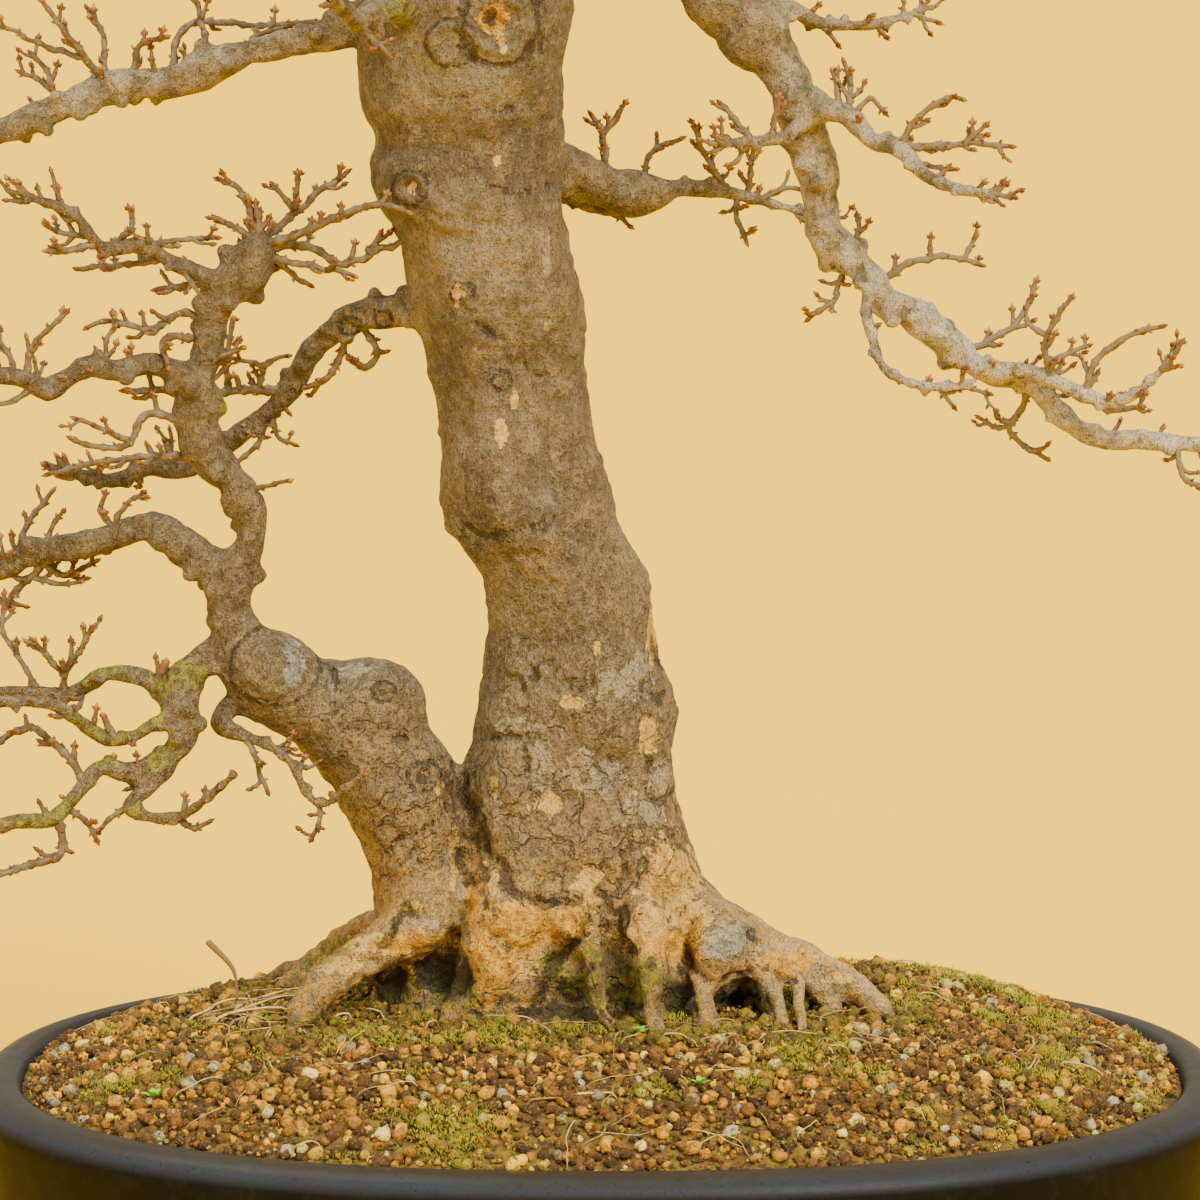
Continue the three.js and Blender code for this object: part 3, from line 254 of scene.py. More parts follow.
# Kinds of grain: where each starts from 0 to 1, and its colour.
GRAIN_KINDS = [
    (0, (0.085, 0.036, 0.004)), (0.2, (0.19, 0.08, 0.007)), (0.4, (0.38, 0.165, 0.01)),
    (0.56, (0.62, 0.3, 0.014)), (0.7, (0.85, 0.39, 0.008)), (0.81, (0.9, 0.58, 0.025)),
    (0.91, (0.92, 0.74, 0.2)), (0.975, (0.5, 0.45, 0.27)),
]
GRAIN_SHADES = [(0, (0.6, 0.57, 0.52)), (1, (1.3, 1.25, 1.1))]
MOSS = {
    "deep": (0.05, 0.055, 0.002), "green": (0.22, 0.25, 0.003), "tip": (0.5, 0.52, 0.006),
    "gold": (0.56, 0.43, 0.008), "dry": (0.4, 0.24, 0.02), "fresh": (0.22, 0.6, 0.015),
}
POT = {
    "dark": (0.0035, 0.0031, 0.0027), "brown": (0.007, 0.006, 0.005), "lip": (0.034, 0.028, 0.021),
    # The edge colour is a painted bluish highlight on the outer rounding of the lip.
    "edge": (0.032, 0.038, 0.05), "dust": (0.024, 0.02, 0.016), "grit": (0.005, 0.0045, 0.004),
}
FLOOR = {"low": (0.97, 0.6, 0.018), "high": (0.98, 0.61, 0.02)}
SCREEN = {"low": (0.008, 0.02, 0.012), "high": (0.02, 0.04, 0.026)}
WIRE = {"low": (0.45, 0.44, 0.42), "high": (0.66, 0.65, 0.63)}
FIBRE = {"low": (0.2, 0.12, 0.035), "high": (0.7, 0.52, 0.16)}
SKY_COLOUR = (1.0, 0.92, 0.77)
SKY_POWER = 0.7

# Lamps: name, kind, place in metres, size in metres or angle, power and colour.
LAMPS = [
    ["key", "SUN", (1.1, -1.7, 2.2), 0.5, 5.8, (1.0, 0.93, 0.8)],
    ["top", "SUN", (-0.5, 0.8, 2.4), 0.6, 2.3, (1.0, 0.94, 0.82)],
    ["fill", "AREA", (-1.8, -1.6, 1.0), 1.8, 28, (1.0, 0.94, 0.82)],
]
LAMP_TARGET = (0, 0, 0.35)
FLOOR_REACH = 60.0
FLOOR_SIDES = 96

# The pieces that the bark is cut into, by the height where each starts.
WOOD_PIECES = [["wood_foot", 0], ["wood_middle", 290], ["wood_crown", 540]]

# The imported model's box in millimetres, and the room kept free inside it by twigs and by all wood
BOX_LOW, BOX_HIGH = (np.array(corner) / MM for corner in CAD_BOX)
BOX_ROOM = 6.0
BOX_EDGE = 0.3

# The trunk: seen z, and seen x of its left and right edges.
TRUNK = [
    [88, -72, 56], [106, -81, 64], [122, -87, 68], [140, -80, 62], [151, -74, 52], [168, -65, 43],
    [184, -62, 38], [200, -59, 34], [222, -56, 30.5], [245, -52.7, 32], [262, -50, 26],
    [283, -48.5, 21.5], [300, -51, 18.8], [312, -58, 13], [323, -66, 8.5], [338, -68.8, 4],
    [360, -68.6, -3], [385, -72, -7], [402, -75, -7], [420, -80, -8], [433, -81.2, -11.5],
    [446, -86.5, -15], [460, -94, -16.7], [471, -95.5, -16.5], [483, -92.5, -16], [496, -98.5, -17],
    [512, -100, -16], [540, -99, -12], [562, -91, -14], [590, -79, -20], [635, -62, -24], [675, -49, -29],
    [715, -41, -34],
]

# Lumps and cut stubs: seen x, seen z, depth, and half sizes along x, y and z.
LUMPS = [
    [-93, 248, -12, 17, 16, 15], [50, 138, -26, 14, 14, 13], [-42, 530, -34, 17, 10, 17],
    [-63, 525, -36, 8, 8, 8],
]

# Surface roots: depth at the trunk, then seen x, seen z and radius down to the soil.
ROOTS = [
    [22, [[-84, 152, 9], [-97, 150, 7], [-108, 144, 6], [-118, 137, 5.5], [-128, 131, 5],
        [-140, 126, 4]]],
    [-22, [[-78, 154, 12], [-95, 140, 9], [-108, 132, 9], [-120, 121, 7], [-128, 112, 5.5],
        [-131, 104, 4]]],
    [-38, [[-93, 137, 4], [-97, 131, 3], [-94, 123, 2.4], [-91, 117, 2.2]]],
    [-34, [[-74, 150, 8], [-82, 135, 5.5], [-78, 126, 4.5], [-77, 117, 4]]],
    [-32, [[-40, 162, 15], [-45, 150, 14], [-48, 140, 12], [-50, 130, 11], [-57, 120, 8], [-62, 111, 6]]],
    [-40, [[-10, 150, 8], [-5, 138, 5], [-3, 125, 3.5], [0, 112, 3], [5, 105, 2.6]]],
    [-40, [[18, 150, 9], [20, 135, 6], [21, 120, 4], [23, 103, 3.5]]],
    [-18, [[46, 144, 13], [46, 130, 10], [42, 120, 6.5], [44, 107, 6]]],
    [-18, [[52, 144, 13], [64, 136, 9], [71, 127, 5.5], [72, 118, 4.5], [75, 109, 4]]],
    [-10, [[46, 148, 9], [64, 142, 6.5], [75, 135, 5], [88, 125, 4], [97, 114, 4]]],
    [-17, [[76, 134, 4], [83, 126, 3], [84, 115, 2.5], [85, 105, 2.5]]],
    [2, [[42, 156, 10], [60, 148, 8], [72, 141, 7], [85, 136, 6.5], [97, 130, 6], [113, 119, 5.5],
        [119, 112, 5]]],
]

# Roots on the far side: direction in degrees, reach from the trunk's middle, and radius.
FAR_ROOTS = [
    [18, 118, 9], [48, 96, 10], [78, 100, 8], [106, 92, 10], [134, 112, 9], [160, 136, 10],
]

# Limbs: depth at both ends, then seen x, seen z and radius along each.
LIMBS = {
    "subtrunk": [6, -20, [[-68, 120, 26], [-72, 150, 23], [-76, 175, 22], [-82, 200, 23], [-91, 219, 24],
        [-103, 235, 23], [-114, 243, 20], [-127, 249, 18], [-140, 258, 17.5], [-150, 269, 12],
        [-157, 285, 7.5]]],
    "leader": [-20, -25, [[-150, 269, 9], [-157, 285, 7.5], [-155, 300, 8.5], [-149, 310, 6.7],
        [-146.5, 320, 6.2], [-148.5, 330, 6.8], [-155, 340, 8], [-164, 350, 9], [-169, 360, 8],
        [-170.5, 370, 9.5], [-168, 380, 6.2], [-165.5, 390, 5.7], [-164, 400, 7], [-161, 412, 7.5],
        [-154, 422, 8], [-147, 430, 9], [-143, 437, 6.5], [-143, 443, 3]]],
    "leaderLeft": [-25, -45, [[-162, 412, 5], [-165, 425, 3.8], [-180, 432, 3.2], [-190, 439, 3],
        [-207, 437, 2.6], [-220, 452, 2.2], [-239, 459, 1.6]]],
    "middleLeft": [-24, -60, [[-168, 372, 7], [-172, 382, 5.5], [-188, 389, 5], [-203, 386, 4.7],
        [-214, 388, 4.4], [-225, 382, 4.2], [-232, 378, 4], [-242, 383, 3.8], [-253, 384, 3.5],
        [-268, 380, 3], [-282, 384, 2.6], [-295, 379, 2]]],
    "arch": [-21, 14, [[-155, 296, 8], [-163, 303, 7.5], [-177, 313, 6.8], [-190, 321, 6.5],
        [-205, 316, 6], [-222, 312, 5.6], [-238, 310, 5.2], [-253, 302, 4.6], [-266, 299, 4],
        [-281, 303, 3.2], [-294, 298, 2.4]]],
    "lowerStem": [-18, -36, [[-152, 262, 10], [-163, 266, 8], [-172, 260, 7], [-177, 251, 8],
        [-177, 241, 7], [-176, 232, 5.5], [-181, 224, 4.8], [-188, 217, 4.4]]],
    "lowerA": [-24, -8, [[-177, 250, 5], [-184, 249, 4.2], [-192, 256, 3.8], [-209, 258, 3.5],
        [-218, 252, 3.3], [-227, 249, 3.2], [-240, 250, 3], [-253, 250, 2.8], [-268, 252, 2.4],
        [-284, 248, 1.8]]],
    "lowerB": [-32, -70, [[-177, 240, 4], [-190, 236, 3], [-198, 231, 2.8], [-208, 230, 2.7],
        [-222, 239, 2.6], [-232, 245, 2.5], [-253, 246, 2.3], [-266, 241, 2], [-278, 243, 1.6]]],
    "lowerC": [-36, -78, [[-187, 218, 4.4], [-200, 216, 3.8], [-211, 218, 3.6], [-219, 210, 3.5],
        [-225, 203, 3.4], [-232, 196, 3.2], [-247, 195, 3], [-262, 192, 2.5], [-274, 197, 1.8]]],
    "lowerD": [-36, -82, [[-187, 218, 4], [-191, 210, 3.2], [-200, 201, 3], [-190, 196.5, 2.7],
        [-178, 197, 2.4], [-168, 204, 1.9], [-155, 215, 1.4]]],
    "lowerE": [-16, -58, [[-143, 246, 6], [-155, 245, 4.6], [-161, 237, 4.2], [-152, 232, 3.2],
        [-142, 228, 2.2], [-132, 221, 1.9], [-124, 206, 1.8], [-117, 202, 1.7], [-108, 209, 1.6],
        [-95, 220, 1.2]]],
    "behind": [4, 44, [[-70, 412, 9], [-88, 411, 6.5], [-103, 408.5, 6.2], [-113, 402, 5.6],
        [-121, 395, 5.2], [-128, 382, 5], [-137, 371, 4.6], [-150, 361, 4.2], [-162, 351, 4],
        [-175, 345, 4], [-190, 345, 3.6], [-205, 340, 3.2], [-221, 343, 2.4]]],
    "topLeft": [-6, -34, [[-86, 536, 10], [-98, 532, 8], [-115, 525, 6.4], [-132, 522, 6],
        [-150, 517.5, 5.6], [-165, 511.5, 8], [-178, 506, 6.2], [-194, 506, 6.4], [-210, 502, 7.2],
        [-230, 494, 6], [-247, 487, 6.3], [-265, 482, 5], [-283, 474, 4], [-300, 471, 3],
        [-316, 465, 2]]],
    "topFront": [-30, -128, [[-78, 536, 7], [-92, 536, 5.5], [-101, 531, 4.4], [-104, 533, 3.4],
        [-112, 541, 2.2]]],
    "rightMain": [0, -24, [[-34, 598, 15], [-12, 597, 15], [12, 582, 14], [34, 560, 13.5], [54, 535, 13],
        [70, 518, 12], [78, 505, 10], [83, 488, 9], [89, 471, 9], [91, 456, 7.8], [93, 443, 8.2],
        [103, 433, 7], [113, 425, 6], [117, 415, 6], [128, 411, 6.5], [143, 399, 7], [160, 386, 5.6],
        [175, 382, 4.5], [184, 377, 4.5], [190, 369, 4.8], [205, 358.5, 4.2], [222, 357, 3.6],
        [250, 355, 3.5], [266, 352, 3.2], [282, 356, 2.8], [302, 350, 2.3], [322, 353, 1.8]]],
    "rightUpper": [-22, -46, [[158, 387, 4.5], [172, 386, 4], [186, 383, 3.8], [202, 376, 3.2],
        [215, 373, 2.6], [225, 378, 2.2], [235, 388, 1.6]]],
    "rightHanging": [-18, -52, [[103, 431, 4], [111, 420, 2.8], [110, 411, 2.5], [113, 400, 2.3],
        [117, 388, 2.1], [129, 381, 2], [150, 380, 1.8], [165, 389, 1.2]]],
    "rightLateral": [-14, -66, [[80, 497, 7], [93, 495, 5], [103, 492, 4.4], [112, 482, 3.8],
        [124, 479, 3.4], [134, 468, 3], [148, 462, 2.4], [161, 460, 1.6]]],
    "rightFront": [-14, -48, [[90, 499, 4], [86, 492, 3.2], [76, 484, 3], [64, 482, 2.6],
        [51, 481, 1.6]]],
    "rightTop": [-8, 30, [[66, 530, 6], [76, 537, 3.6], [90, 531, 2.8], [110, 530, 2.2],
        [131, 535.5, 1.5]]],
    "middleRight": [12, 58, [[-26, 474, 11], [-12, 469, 9.5], [3, 462, 10], [14, 460, 9.5], [21, 460, 7],
        [29, 462, 4.4], [45, 462, 3.5], [60, 459, 2.6], [74, 455, 2], [90, 451, 1.5]]],
    "middleGrey": [14, 40, [[-38, 459, 4], [-12, 458, 2.8], [-8, 455, 2.5], [6, 452, 1.8]]],
    "crownLeftLow": [0, 92, [[-66, 598, 11], [-96, 612, 8.5], [-130, 616, 7.5], [-166, 610, 6.5],
        [-204, 612, 5.2], [-240, 604, 4], [-276, 604, 2.6]]],
    "crownLeftMiddle": [-10, -84, [[-54, 640, 10], [-88, 664, 7.5], [-124, 672, 6.5], [-160, 668, 5.4],
        [-196, 670, 4.2], [-232, 662, 2.6]]],
    "crownLeftHigh": [-12, 44, [[-46, 684, 7], [-76, 706, 5.5], [-108, 714, 4.6], [-140, 712, 3.6],
        [-170, 716, 2.2]]],
    "crownRightLow": [-6, 84, [[-32, 634, 11], [0, 652, 8.5], [38, 656, 7.5], [78, 648, 6.6],
        [120, 650, 5.4], [160, 638, 4.2], [204, 638, 2.8]]],
    "crownRightMiddle": [-12, -76, [[-36, 668, 9], [-6, 690, 6.6], [30, 698, 5.8], [70, 692, 4.8],
        [108, 692, 3.8], [144, 682, 2.4]]],
    "farLow": [20, 158, [[-56, 476, 10], [-62, 492, 8], [-52, 506, 6.6], [-64, 518, 5.2], [-56, 528, 3.8],
        [-62, 538, 2.4]]],
    "farMiddle": [8, 168, [[-44, 566, 11], [-18, 584, 8], [8, 592, 6.8], [36, 602, 5.4], [56, 604, 4],
        [82, 612, 2.4]]],
    "farHigh": [0, 150, [[-52, 618, 10], [-84, 640, 7.4], [-104, 646, 6], [-128, 658, 4.6],
        [-150, 660, 2.6]]],
    "farTop": [-8, 116, [[-40, 660, 8], [-22, 682, 6], [-14, 694, 4.6], [6, 706, 3.4], [16, 708, 2.2]]],
    "nearLow": [-30, -146, [[-50, 604, 9], [-74, 626, 6.6], [-82, 634, 5.4], [-106, 644, 4],
        [-116, 646, 2.4]]],
    "nearHigh": [-26, -132, [[-42, 646, 8], [-16, 670, 5.8], [-2, 678, 4.6], [22, 688, 3.4],
        [34, 688, 2.2]]],
    "apexLeft": [-13, -40, [[-40, 704, 6.5], [-50, 724, 5], [-66, 738, 3.8], [-82, 742, 2.4]]],
    "apexMiddle": [-13, 6, [[-38, 706, 6.5], [-34, 730, 4.8], [-42, 748, 3.4], [-38, 762, 2]]],
    "apexRight": [-13, 30, [[-37, 704, 6.5], [-18, 722, 4.8], [2, 734, 3.6], [18, 732, 2.2]]],
}

# Seen twigs of each limb: radius at both ends, then seen x and seen z along each.
TWIGS = {
    "leader": [
        [2.4, 1.3, [[-143, 438], [-122, 445], [-104, 453.5], [-92, 455.5], [-80, 452]]],
        [2.2, 1.3, [[-144, 440], [-130, 450], [-117, 461], [-106, 469]]],
        [1.6, 1.2, [[-127, 451], [-126.5, 469]]], [2, 1.2, [[-143, 443], [-151, 462], [-160, 466]]],
        [2.4, 1.4, [[-140, 437], [-122, 438], [-110, 431], [-98, 434], [-92, 444]]],
        [1.8, 1.2, [[-98, 436], [-80, 441], [-64, 446]]],
        [2, 1.2, [[-163, 406], [-175, 410], [-187, 404], [-208, 407], [-215, 404]]],
        [2, 1.2, [[-156, 424], [-170, 422], [-186, 420]]],
        [2.2, 1.3, [[-165, 400], [-183, 399], [-181, 388]]],
        [2.4, 1.3, [[-169, 375], [-186, 378], [-200, 378]]],
        [2.2, 1.3, [[-172, 364], [-190, 368], [-199, 355], [-212, 354], [-222, 358]]],
        [2, 1.2, [[-164, 348], [-185, 350], [-210, 348], [-232, 342]]],
    ],
    "leaderLeft": [
        [1.6, 1.2, [[-207, 438], [-197, 445], [-195, 453]]],
        [1.6, 1.2, [[-212, 442], [-225, 444], [-231, 447]]],
        [2, 1.4, [[-209, 438], [-222, 437], [-231, 436.5]]],
        [1.8, 1.2, [[-182, 433], [-200, 430.5], [-218, 429]]],
    ],
    "middleLeft": [
        [1.8, 1.2, [[-241, 383], [-238, 396], [-223, 411]]],
        [1.6, 1.2, [[-238, 380], [-247, 373], [-254, 372]]],
    ],
    "arch": [
        [1.8, 1.2, [[-201, 318], [-210, 326], [-208, 335]]],
        [1.8, 1.2, [[-247, 306], [-240, 322], [-230, 336]]],
        [2.4, 1.4, [[-231, 311], [-236, 303], [-247, 293], [-249, 286]]],
        [1.6, 1.2, [[-236, 306], [-226, 300], [-212, 306]]],
    ],
    "lowerA": [
        [2.8, 2.2, [[-187, 252], [-184, 263]]], [1.8, 1.2, [[-227, 249], [-227, 258], [-240, 272]]],
        [1.6, 1.2, [[-227, 257], [-221, 266], [-214, 278]]],
        [1.4, 1.1, [[-237, 250], [-246, 266], [-252, 277], [-251, 292]]],
    ],
    "lowerC": [
        [2.2, 1.4, [[-218, 211], [-227, 224], [-241, 235], [-254, 230]]],
        [2.2, 1.5, [[-230, 197], [-229, 181], [-243, 176], [-258, 172], [-270, 176]]],
        [1.6, 1.2, [[-226, 201], [-216, 192], [-213, 187]]],
    ],
    "lowerD": [
        [1.5, 1.2, [[-180, 197], [-172, 192], [-166, 195]]],
    ],
    "lowerE": [
        [1.6, 1.2, [[-152, 232], [-146, 223], [-144, 214], [-141, 207]]],
    ],
    "subtrunk": [
        [1.8, 1.2, [[-132, 246], [-128, 240], [-124, 250], [-117, 260]]],
    ],
    "behind": [
        [2.6, 1.8, [[-131, 378], [-148, 378], [-164, 377]]],
        [1.6, 1.2, [[-156, 378], [-157, 390], [-154, 408]]],
        [2, 1.4, [[-109, 403], [-108, 396], [-115, 383], [-124, 379]]],
        [2, 1.4, [[-102, 406], [-94, 394], [-99, 387], [-105, 392]]],
        [1.6, 1.2, [[-139, 369], [-145, 355], [-155, 346]]],
    ],
    "topLeft": [
        [2, 1.2, [[-205, 506], [-213, 515], [-220, 524], [-232, 540]]],
        [1.6, 1.2, [[-206, 508], [-206, 524], [-213, 537]]],
        [1.8, 1.2, [[-196, 508], [-191, 522], [-180, 525]]],
        [1.6, 1.2, [[-226, 498], [-231, 511], [-237, 518]]],
        [1.8, 1.2, [[-164, 515], [-165, 526], [-168, 542]]],
        [1.8, 1.2, [[-180, 508], [-172, 529], [-140, 530], [-108, 532]]],
    ],
    "topFront": [
        [1.6, 1.2, [[-101, 530], [-95, 524], [-88, 517]]],
    ],
    "rightMain": [
        [2, 1.2, [[150, 393], [162, 399], [175, 409], [181, 424]]],
        [1.8, 1.2, [[178, 380], [175, 370], [170, 361], [186, 349]]],
        [2, 1.2, [[118, 424], [126, 430], [143, 434], [158, 430]]],
        [1.6, 1.2, [[100, 434], [97, 417], [86, 408]]], [1.6, 1.2, [[102, 434], [107, 444], [106, 451]]],
        [1.6, 1.2, [[238, 356], [243, 342], [252, 337]]],
    ],
    "rightUpper": [
        [1.8, 1.2, [[188, 382], [185, 398], [195, 417]]],
        [1.8, 1.2, [[203, 377], [207, 391], [220, 401], [233, 405]]],
        [1.6, 1.2, [[200, 377], [210, 370], [226, 371]]],
    ],
    "rightLateral": [
        [2, 1.2, [[122, 480], [138, 480], [155, 481], [170, 480]]],
        [1.8, 1.2, [[124, 479], [130, 491], [144, 500], [150, 499]]],
        [1.8, 1.2, [[98, 494], [98, 503], [95, 511]]], [1.6, 1.2, [[104, 492], [103, 505], [100, 515]]],
    ],
    "rightFront": [
        [1.6, 1.2, [[62, 482], [55, 491], [49, 498]]],
    ],
    "middleRight": [
        [2.2, 1.3, [[1, 464], [0, 485], [-5, 493]]], [1.6, 1.2, [[16, 462], [20, 477], [33, 483]]],
        [1.6, 1.2, [[52, 461], [45, 473], [37, 490]]], [1.6, 1.2, [[60, 460], [63, 479]]],
        [1.6, 1.2, [[57, 460], [56, 450], [60, 440]]],
    ],
}

# Sprays of twigs by rule: limb, start share, count and length.
SPRAYS = [
    ["topLeft", 0.8, 2, 30], ["middleLeft", 0.72, 2, 24], ["arch", 0.74, 2, 24], ["lowerA", 0.72, 1, 20],
    ["lowerB", 0.72, 1, 20], ["lowerC", 0.72, 1, 18], ["rightMain", 0.86, 2, 28],
    ["crownLeftLow", 0.25, 4, 40], ["crownLeftMiddle", 0.25, 4, 38], ["crownLeftHigh", 0.2, 3, 34],
    ["crownRightLow", 0.25, 4, 40], ["crownRightMiddle", 0.2, 4, 36], ["farLow", 0.35, 2, 32],
    ["farMiddle", 0.3, 3, 36], ["farHigh", 0.3, 3, 36], ["farTop", 0.3, 2, 32], ["nearLow", 0.35, 2, 32],
    ["nearHigh", 0.3, 2, 32], ["apexLeft", 0.3, 1, 30], ["apexMiddle", 0.3, 1, 26],
    ["apexRight", 0.3, 1, 28],
]

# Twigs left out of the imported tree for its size, in the same form as TWIGS.
MORE_TWIGS = {
    "leader": [
        [1.6, 1.1, [[-131, 454], [-137, 464]]], [2, 1.1, [[-140, 433], [-113, 428], [-103, 426]]],
        [1.8, 1.1, [[-146, 440], [-158, 449], [-163, 450]]],
        [1.8, 1.1, [[-135, 434], [-127, 425], [-122, 422]]],
        [1.5, 1, [[-168, 383], [-160, 392], [-150, 396]]],
        [1.5, 1, [[-199, 357], [-207, 361], [-220, 366]]],
        [1.5, 1, [[-152, 333], [-140, 338], [-131, 340]]],
    ],
    "leaderLeft": [
        [1.5, 1, [[-225, 454], [-229, 469]]], [1.5, 1, [[-188, 438], [-175, 441], [-160, 442]]],
        [1.5, 1, [[-176, 430], [-170, 421], [-166, 416]]],
    ],
    "middleLeft": [
        [1.6, 1, [[-246, 384], [-247, 391], [-252, 400]]],
        [1.5, 1, [[-205, 387], [-207, 397], [-203, 405]]],
    ],
    "arch": [
        [1.5, 1, [[-240, 299], [-228, 296], [-219, 297]]],
        [1.5, 1, [[-205, 320], [-200, 330], [-192, 335]]],
        [1.5, 1, [[-232, 312], [-231, 320], [-226, 327]]],
        [1.5, 1, [[-236, 306], [-226, 300], [-212, 306]]],
    ],
    "lowerB": [
        [2.2, 1.6, [[-206, 231], [-210, 240]]],
    ],
    "lowerD": [
        [1.5, 1, [[-200, 201], [-208, 196], [-213, 190]]],
    ],
    "lowerE": [
        [1.3, 1, [[-121, 203], [-119, 195], [-123, 187]]],
        [1.3, 1, [[-132, 221], [-125, 218], [-119, 221]]],
        [1.3, 1, [[-143, 228], [-136, 226], [-130, 226]]],
    ],
    "behind": [
        [1.5, 1, [[-143, 378], [-142, 388], [-153, 391]]],
        [1.5, 1, [[-142, 389], [-136, 391], [-131, 392]]],
        [1.5, 1, [[-139, 369], [-135, 358], [-129, 355]]], [1.5, 1, [[-179, 346], [-181, 361]]],
    ],
    "topLeft": [
        [1.6, 1, [[-214, 516], [-235, 523], [-249, 530]]],
        [1.6, 1, [[-229, 503], [-236, 508], [-241, 511]]],
        [1.6, 1, [[-150, 519], [-142, 526], [-131, 529]]],
    ],
    "rightMain": [
        [1.5, 1, [[175, 366], [166, 362], [158, 366]]], [1.4, 1, [[136, 434], [137, 442]]],
        [1.4, 1, [[150, 433], [156, 443]]],
    ],
    "rightUpper": [
        [1.5, 1, [[190, 390], [203, 397]]], [1.5, 1, [[186, 399], [178, 406], [176, 412]]],
    ],
    "rightHanging": [
        [1.3, 1, [[140, 380], [147, 371]]], [1.3, 1, [[150, 380], [162, 376.5]]],
    ],
    "rightLateral": [
        [1.5, 1, [[131, 472], [147, 470]]], [1.5, 1, [[150, 481], [159, 489]]],
        [1.5, 1, [[105, 492], [111, 500], [117, 494]]],
    ],
    "rightFront": [
        [1.5, 1, [[70, 483], [72, 492], [74, 500]]], [1.5, 1, [[60, 482], [56, 474], [52, 472]]],
    ],
    "rightTop": [
        [1.5, 1, [[91, 531], [98, 522]]], [1.5, 1, [[112, 530], [118, 525]]],
    ],
    "middleRight": [
        [1.6, 1, [[0, 485], [10, 498]]], [1.5, 1, [[66, 458], [75, 462], [84, 462]]],
    ],
}

# Marks on the bark by kind: seen x, seen z, half width and half height.
MARKS = {
    "pale": [
        [7, 254, 12, 7], [17, 262, 6, 6], [24, 212, 6, 9], [15, 200, 9, 8], [-44, 199, 4.5, 7.5],
        [-26, 217, 5, 13], [-34, 236, 10, 3.5], [51, 143, 13, 8], [96, 126, 14, 4], [-78, 150, 10, 4],
        [-103, 259, 6, 3.5], [-57, 166, 5, 6], [-8, 215, 7, 9], [-25, 434, 2, 8], [-23, 405, 2.5, 2.5],
    ],
    "peel": [
        [-42, 359, 2.4, 6], [-36, 373, 1.7, 4], [-43, 210, 2.6, 5], [18, 232, 4.5, 8], [28, 165, 15, 22],
        [20, 148, 11, 14], [-28, 151, 24, 12], [-48, 128, 12, 12], [-38, 138, 14, 12], [-8, 159, 8, 9],
        [-5, 169, 6, 5], [-22, 202, 8, 5], [-53, 148, 3, 8], [-78, 157, 2.5, 4], [-62, 180, 2, 12],
        [-46, 170, 2.5, 9], [-95, 143, 14, 5], [-113, 133, 11, 5], [-68, 210, 3, 5], [41, 152, 7, 9],
        [-72, 144, 13, 4], [-80, 127, 4, 7], [72, 135, 8, 4], [22, 276, 2.5, 14], [-3, 269, 2, 4],
        [-42, 523, 2, 4], [-12, 246, 5, 2.5], [-44, 474, 3, 2.5], [12, 126, 6, 5], [100, 127, 8, 3],
        [-60, 418, 2, 5],
    ],
    "gold": [
        [-45, 532, 6, 6], [-33, 150, 20, 10], [-48, 131, 12, 13], [-12, 153, 8, 8], [34, 142, 12, 8],
        [-84, 142, 14, 5], [12, 122, 5, 7], [80, 133, 10, 5], [-54, 160, 4, 12],
    ],
    "slate": [
        [52, 139, 7, 6], [61, 146, 6, 4], [-131, 262, 4, 8], [2, 214, 7, 8],
    ],
    # Damp bark that is also painted shade, laid in the hollows between the roots at the soil.
    "damp_and_shade": [
        [-2, 124, 21, 15], [30, 118, 8, 9], [-66, 128, 14, 10], [62, 118, 12, 9], [-90, 120, 6, 8],
    ],
    "moss": [
        [-12, 126, 8, 5], [4, 118, 9, 4], [-5, 138, 7, 4], [-240, 222, 34, 5], [-186, 226, 8, 9],
        [-215, 200, 22, 5], [-174, 258, 7, 5], [15, 126, 9, 9], [-20, 134, 6, 7], [-86, 120, 6, 7],
        [-64, 122, 11, 7], [35, 116, 8, 8], [60, 112, 9, 7], [-122, 140, 15, 7], [140, 397, 7, 4],
        [-83, 535, 6, 5], [-185, 257, 6, 8], [-214, 256, 18, 5], [-205, 238, 22, 9], [-236, 195, 14, 5],
        [-158, 372, 3, 6],
    ],
    # Painted shade: near-black spots in the hollows between the roots at the soil and in the sunken middles
    # of cut scars.
    "dark": [
        [-66, 127, 13, 9], [-90, 125, 5, 7], [-16, 110, 20, 5], [33, 117, 6, 8], [59, 114, 10, 8],
        [-59, 521, 1.6, 1.6], [-46, 533, 3, 3.5], [-75, 213, 2.6, 2.4], [-93, 249, 1.6, 1.6],
    ],
}

# Softer differences of tone, partly the bark's own and partly painted light and shade (a lit right edge, a
# shaded left side, lighter swells and darker hollows): seen x, seen z, half width, half height and how much
# lighter.
TINTS_AND_SHADING = [
    [-43, 530, 15, 15, -0.5], [-38, 430, 24, 24, 0.7], [-58, 452, 12, 12, 0.5], [-95, 500, 14, 40, -0.8],
    [-62, 396, 16, 16, -0.5], [-30, 486, 16, 30, -0.4], [-48, 350, 22, 30, -0.1], [18, 300, 14, 40, 0.9],
    [-54, 262, 8, 34, -0.5], [-105, 225, 14, 16, -0.7], [-40, 216, 12, 18, -0.5],
    [-20, 176, 18, 10, -0.3], [24, 222, 12, 26, 0.5], [-70, 172, 20, 20, -0.2], [-22, 262, 24, 10, -0.3],
    [0, 190, 14, 18, -0.4], [-90, 430, 8, 20, -0.3],
]

# Scars where branches were cut: seen x, seen z, radius, and height of the rim.
SCARS = [
    [-79, 463, 5.5, 1.6], [-43, 530, 12.5, 2.0], [-62, 523, 7.5, 2], [-93, 249, 3, 1.1],
    [-75, 214, 5, 1.8], [-42, 382, 3.2, 0.9], [-58, 419, 3, 0.9], [-105, 405, 3, 1], [-91, 408, 2.6, 0.9],
    [-137, 262, 13, 1.2],
]

